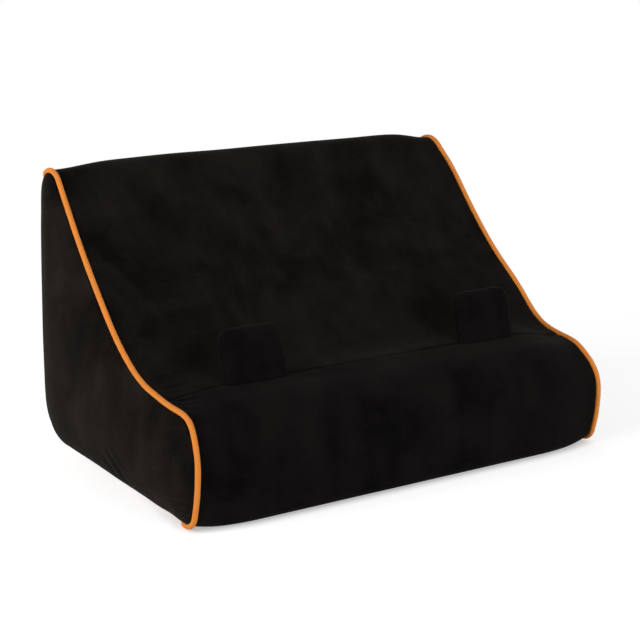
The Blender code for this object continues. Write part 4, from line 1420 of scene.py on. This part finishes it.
@dataclass
class Zip:
    """The zip across the back: two tapes, two coils, the metal parts and the topstitching beside them."""

    wedge: Wedge
    finishes: Finishes
    tape_power: float = 0.35  # Of the tape's superellipse
    tape_around: int = 40
    tape_columns: int = 90
    pitch: float = 0.0015
    coil_reach: float = 0.00105
    coil_gap: float = 0.00025  # Between the zip's middle and the wire
    coil_power: float = 0.7
    coil_depth: float = 0.56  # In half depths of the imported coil
    coil_steps: int = 14  # In each turn
    wire: float = 0.00034
    wire_around: int = 7
    stitch_length: float = 0.0024
    stitch_pitch: float = 0.0031
    stitch_inset: float = 0.0034
    stitch_end: float = 0.012  # How far from the cloth's ends the rows stop
    stitch_radius: float = 0.00022
    stitch_taper: Pair = (0.08, 0.84)  # Part of the half sine that the radius follows
    stitch_lift: float = 0.00012
    stitch_dip: float = 0.00028
    stitch_points: int = 6  # Along each stitch and round it
    sharp_angle: float = math.radians(38)

    def build(self) -> None:
        """Makes every part of the zip."""
        self.tapes()
        self.coils()
        self.metal()
        self.stitches()

    def metal(self) -> None:
        """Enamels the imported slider, pull and stops, and shades them smooth across their rounded edges."""
        for node in ("zip_slider", "zip_pull", "zip_stop_left", "zip_stop_right"):
            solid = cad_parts[node]
            solid.data.materials.clear()
            solid.data.materials.append(self.finishes.metal)
            solid.data.shade_smooth()
            solid.data.set_sharp_from_angle(angle=self.sharp_angle)
            log.info("%s is the packed solid, enamelled", node)

    def tapes(self) -> None:
        """Each tape is a rounded strip: a superellipse of its node's height and thickness carried across."""
        turn, first = full_turn(self.tape_around), np.arange(self.tape_around)
        last = (self.tape_columns - 1) * self.tape_around + first
        squares = grid_faces(self.tape_columns, self.tape_around, wrap_columns=True)
        for name in ("upper", "lower"):
            low, high = (np.array(corner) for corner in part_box(f"zip_tape_{name}"))
            middle, half = (low + high) / 2, (high - low) / 2
            x = np.linspace(low[0], high[0], self.tape_columns)
            y = middle[1] + half[1] * signed_power(np.sin(turn), self.tape_power)
            z = middle[2] + half[2] * signed_power(np.cos(turn), self.tape_power)
            grid = np.stack(np.broadcast_arrays(x[:, None], y, z), axis=-1)
            faces = [squares[:, ::-1], first[None], last[None, ::-1]]
            piece = mesh_piece(f"tape_{name}", grid.reshape(-1, 3), faces)
            dressed(piece, self.finishes.tape, "zip_nylon", f"zip_tape_{name}")

    def coils(self) -> None:
        """Each coil is a flattened helix: x runs with the turn, z and y are its cosine and sine."""
        for name, sign, phase in (("upper", 1, 0.0), ("lower", -1, math.pi)):
            low, high = (np.array(corner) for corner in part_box(f"zip_coil_{name}"))
            start, stop = low[0] + self.wire, high[0] - self.wire
            turns = (stop - start) / self.pitch
            t = np.linspace(0.0, 2 * math.pi * turns, int(turns * self.coil_steps))
            level = self.wedge.zip_height + sign * (self.coil_gap + self.wire + self.coil_reach)
            x = start + self.pitch * t / (2 * math.pi)
            y = (low[1] + high[1]) / 2 + (high[1] - low[1]) / 2 * self.coil_depth * np.sin(t + phase)
            z = level + self.coil_reach * signed_power(np.cos(t + phase), self.coil_power)
            self.coil(name, np.column_stack((x, y, z)))

    def coil(self, name: str, path: Array) -> None:
        """Carries the wire's circle along an open path, with frames from the path and the X axis, and caps
        both ends."""
        along = unit(np.gradient(path, axis=0))
        outward = unit(np.cross(along, np.array([1.0, 0.0, 0.0])))
        ring = rings_round(full_turn(self.wire_around), outward, np.cross(along, outward))
        grid = path[:, None] + self.wire * ring
        first = np.arange(self.wire_around)
        last = (len(path) - 1) * self.wire_around + first
        squares = grid_faces(len(path), self.wire_around, wrap_columns=True)
        faces = [squares[:, ::-1], first[None], last[None, ::-1]]
        piece = mesh_piece(f"coil_{name}", grid.reshape(-1, 3), faces)
        dressed(piece, self.finishes.coil, "zip_nylon", f"zip_coil_{name}")

    def stitches(self) -> None:
        """Two rows of topstitching beside the zip: each stitch is a small capsule, whose radius is the root
        of a part of a half sine, bent so that its ends dip into the cloth."""
        reach, count = self.wedge.cloth_end - self.stitch_end, self.stitch_points
        centres = np.arange(-reach, reach, self.stitch_pitch)
        share, turn = np.linspace(0.0, 1.0, count), full_turn(count)
        start, span = self.stitch_taper
        radius = self.stitch_radius * np.sqrt(np.sin(math.pi * (start + span * share)))[:, None]
        dip = self.stitch_dip * (2 * share - 1)[:, None] ** 4
        x = centres[:, None, None] + self.stitch_length * (share - 0.5)[:, None]
        y = self.wedge.back - self.wedge.setback + self.stitch_lift - dip + radius * np.cos(turn)
        first = np.arange(count)
        caps = np.stack((first[::-1], count * (count - 1) + first))
        offsets = count**2 * np.arange(len(centres))[:, None, None]
        squares = (grid_faces(count, count, wrap_columns=True)[None] + offsets).reshape(-1, 4)
        ends = (caps[None] + offsets).reshape(-1, count)
        for name, sign in (("upper", 1), ("lower", -1)):
            level = self.wedge.zip_height + sign * (self.wedge.zip_opening / 2 + self.stitch_inset)
            grid = np.stack(np.broadcast_arrays(x, y, level + radius * np.sin(turn)), axis=-1)
            piece = mesh_piece(f"topstitch_{name}", grid.reshape(-1, 3), [squares, ends])
            dressed(piece, self.finishes.thread, "zip_nylon")


@dataclass(frozen=True)
class Lamp:
    """A soft area light: its place, the length of its side and its power."""

    name: str
    place: Triple
    size: float
    power: float


@dataclass
class Studio:
    """A pale floor, soft light and the camera of the photograph."""

    place: Triple = (-0.6078, -0.8595, 0.3292)
    pitch: float = math.radians(76.787)
    heading: float = math.radians(-35.07)
    lens: float = 100.79
    sensor: float = 36.0
    lamps: tuple[Lamp, ...] = (
        Lamp("key", (-1.3, -0.1, 0.55), 0.9, 10.0),
        Lamp("top", (0.1, 0.2, 1.3), 1.2, 0.2),
        Lamp("front_fill", (0.5, -1.5, 0.16), 0.9, 13.0),
        Lamp("back_fill", (0.45, 1.6, 0.14), 0.9, 9.0),
    )
    target: Triple = (0.0, 0.0, 0.06)  # What the lamps face
    ambient: float = 0.20
    floor_reach: float = 30.0
    floor_shade: float = 0.82
    floor_lift: float = 0.70
    # Painted contact shade: the share of the floor's glow that is left where the stand closes it in.
    contact_shade_share: float = 0.5  # Of the lift, where the floor sees nothing but the stand
    contact_reach: float = 0.006
    white_from: Pair = (0.3, 0.7)  # How far out the floor turns to plain white

    def camera(self) -> None:
        """Sets the camera at the photograph's viewing angle."""
        data = bpy.data.cameras.new("view")
        data.lens = self.lens
        data.sensor_width = self.sensor
        camera = bpy.data.objects.new("view", data)
        camera.location = self.place
        camera.rotation_euler = (self.pitch, 0.0, self.heading)
        bpy.context.scene.collection.objects.link(camera)
        bpy.context.scene.camera = camera

    def light(self, lamp: Lamp) -> None:
        """Makes one lamp, turned to the target."""
        data = bpy.data.lights.new(lamp.name, "AREA")
        data.size = lamp.size
        data.energy = lamp.power
        light = bpy.data.objects.new(lamp.name, data)
        toward = unit(np.array(self.target) - np.array(lamp.place))
        light.location = lamp.place
        light.rotation_euler = (math.acos(-toward[2]), 0.0, math.atan2(-toward[0], toward[1]))
        bpy.context.scene.collection.objects.link(light)

    def lights(self) -> None:
        """A soft key from the left, a faint top light, low fills in front and behind, and the world's even
        fill, which is plain white to the rays that are seen."""
        for lamp in self.lamps:
            self.light(lamp)
        world = bpy.data.worlds.new("studio")
        bpy.context.scene.world = world
        make = self.emptied(world)
        strength = make.mapped(self.seen(make), 0.0, 1.0, self.ambient, 1.0)
        shade = make.add("ShaderNodeBackground", {"Color": (1.0, 1.0, 1.0, 1.0), "Strength": strength})
        make.add("ShaderNodeOutputWorld", {"Surface": shade.outputs[0]})

    @staticmethod
    def emptied(owner: Material | bpy.types.World) -> Nodes:
        """The node tree of a material or a world, with nothing in it."""
        owner.use_nodes = True
        owner.node_tree.nodes.clear()
        return Nodes(owner.node_tree)

    @staticmethod
    def seen(make: Nodes) -> Socket:
        """1 for rays from the camera, or that a gloss or a glass sends on."""
        rays = make.add("ShaderNodeLightPath")
        glossy = make.math("MAXIMUM", rays.outputs["Is Glossy Ray"], rays.outputs["Is Transmission Ray"])
        return make.math("MAXIMUM", rays.outputs["Is Camera Ray"], glossy)

    def floor(self) -> None:
        """A pale floor: white where the rays that are seen meet it, with the object's shadow kept
        and a painted contact shade close under the stand.
        """
        corners = self.floor_reach * np.array([(-1, -1, 0), (1, -1, 0), (1, 1, 0), (-1, 1, 0)])
        floor = mesh_piece("floor", corners, [np.array([[0, 1, 2, 3]])], smooth_shaded=False)
        material = bpy.data.materials.new("pale_floor")
        make = self.emptied(material)
        white = (1.0, 1.0, 1.0, 1.0)
        shade = self.floor_shade
        lit = make.add("ShaderNodeBsdfDiffuse", {"Color": (shade, shade, shade, 1.0)})
        plain = make.add("ShaderNodeEmission", {"Color": white, "Strength": 1.0})
        # Painted contact shade: ambient occlusion dims the floor's glow close under the stand.
        open_air = make.add("ShaderNodeAmbientOcclusion", {"Distance": self.contact_reach}).outputs["AO"]
        strength = make.mapped(open_air, 0.0, 1.0, self.contact_shade_share * self.floor_lift, self.floor_lift)
        lift = make.add("ShaderNodeEmission", {"Color": white, "Strength": strength})
        shown = make.add("ShaderNodeAddShader", {0: lit.outputs[0], 1: lift.outputs[0]})
        place = make.add("ShaderNodeNewGeometry").outputs["Position"]
        away = make.add("ShaderNodeVectorMath", {0: place}, operation="LENGTH").outputs["Value"]
        far = make.mapped(away, *self.white_from)
        near = make.add("ShaderNodeMixShader", {0: far, 1: shown.outputs[0], 2: plain.outputs[0]})
        ends = {0: self.seen(make), 1: lit.outputs[0], 2: near.outputs[0]}
        final = make.add("ShaderNodeMixShader", ends)
        make.add("ShaderNodeOutputMaterial", {"Surface": final.outputs[0]})
        floor.data.materials.append(material)

    def build(self) -> None:
        """Makes the camera, the lights and the floor."""
        bpy.context.scene.view_settings.view_transform = "Standard"
        self.camera()
        self.lights()
        self.floor()


def main() -> None:
    """Builds the stand piece by piece and sets it in the studio."""
    logging.basicConfig(level=logging.INFO, format="%(name)s: %(message)s")
    Studio().build()
    finishes = Finishes(Effects())
    wedge = Wedge()
    FoamWedge(wedge, finishes, SidePanels(wedge, finishes)).build()
    for sub_assembly in (Cover, SidePanels, Piping, Tabs, Zip):
        sub_assembly(wedge, finishes).build()


if __name__ == "__main__":
    main()
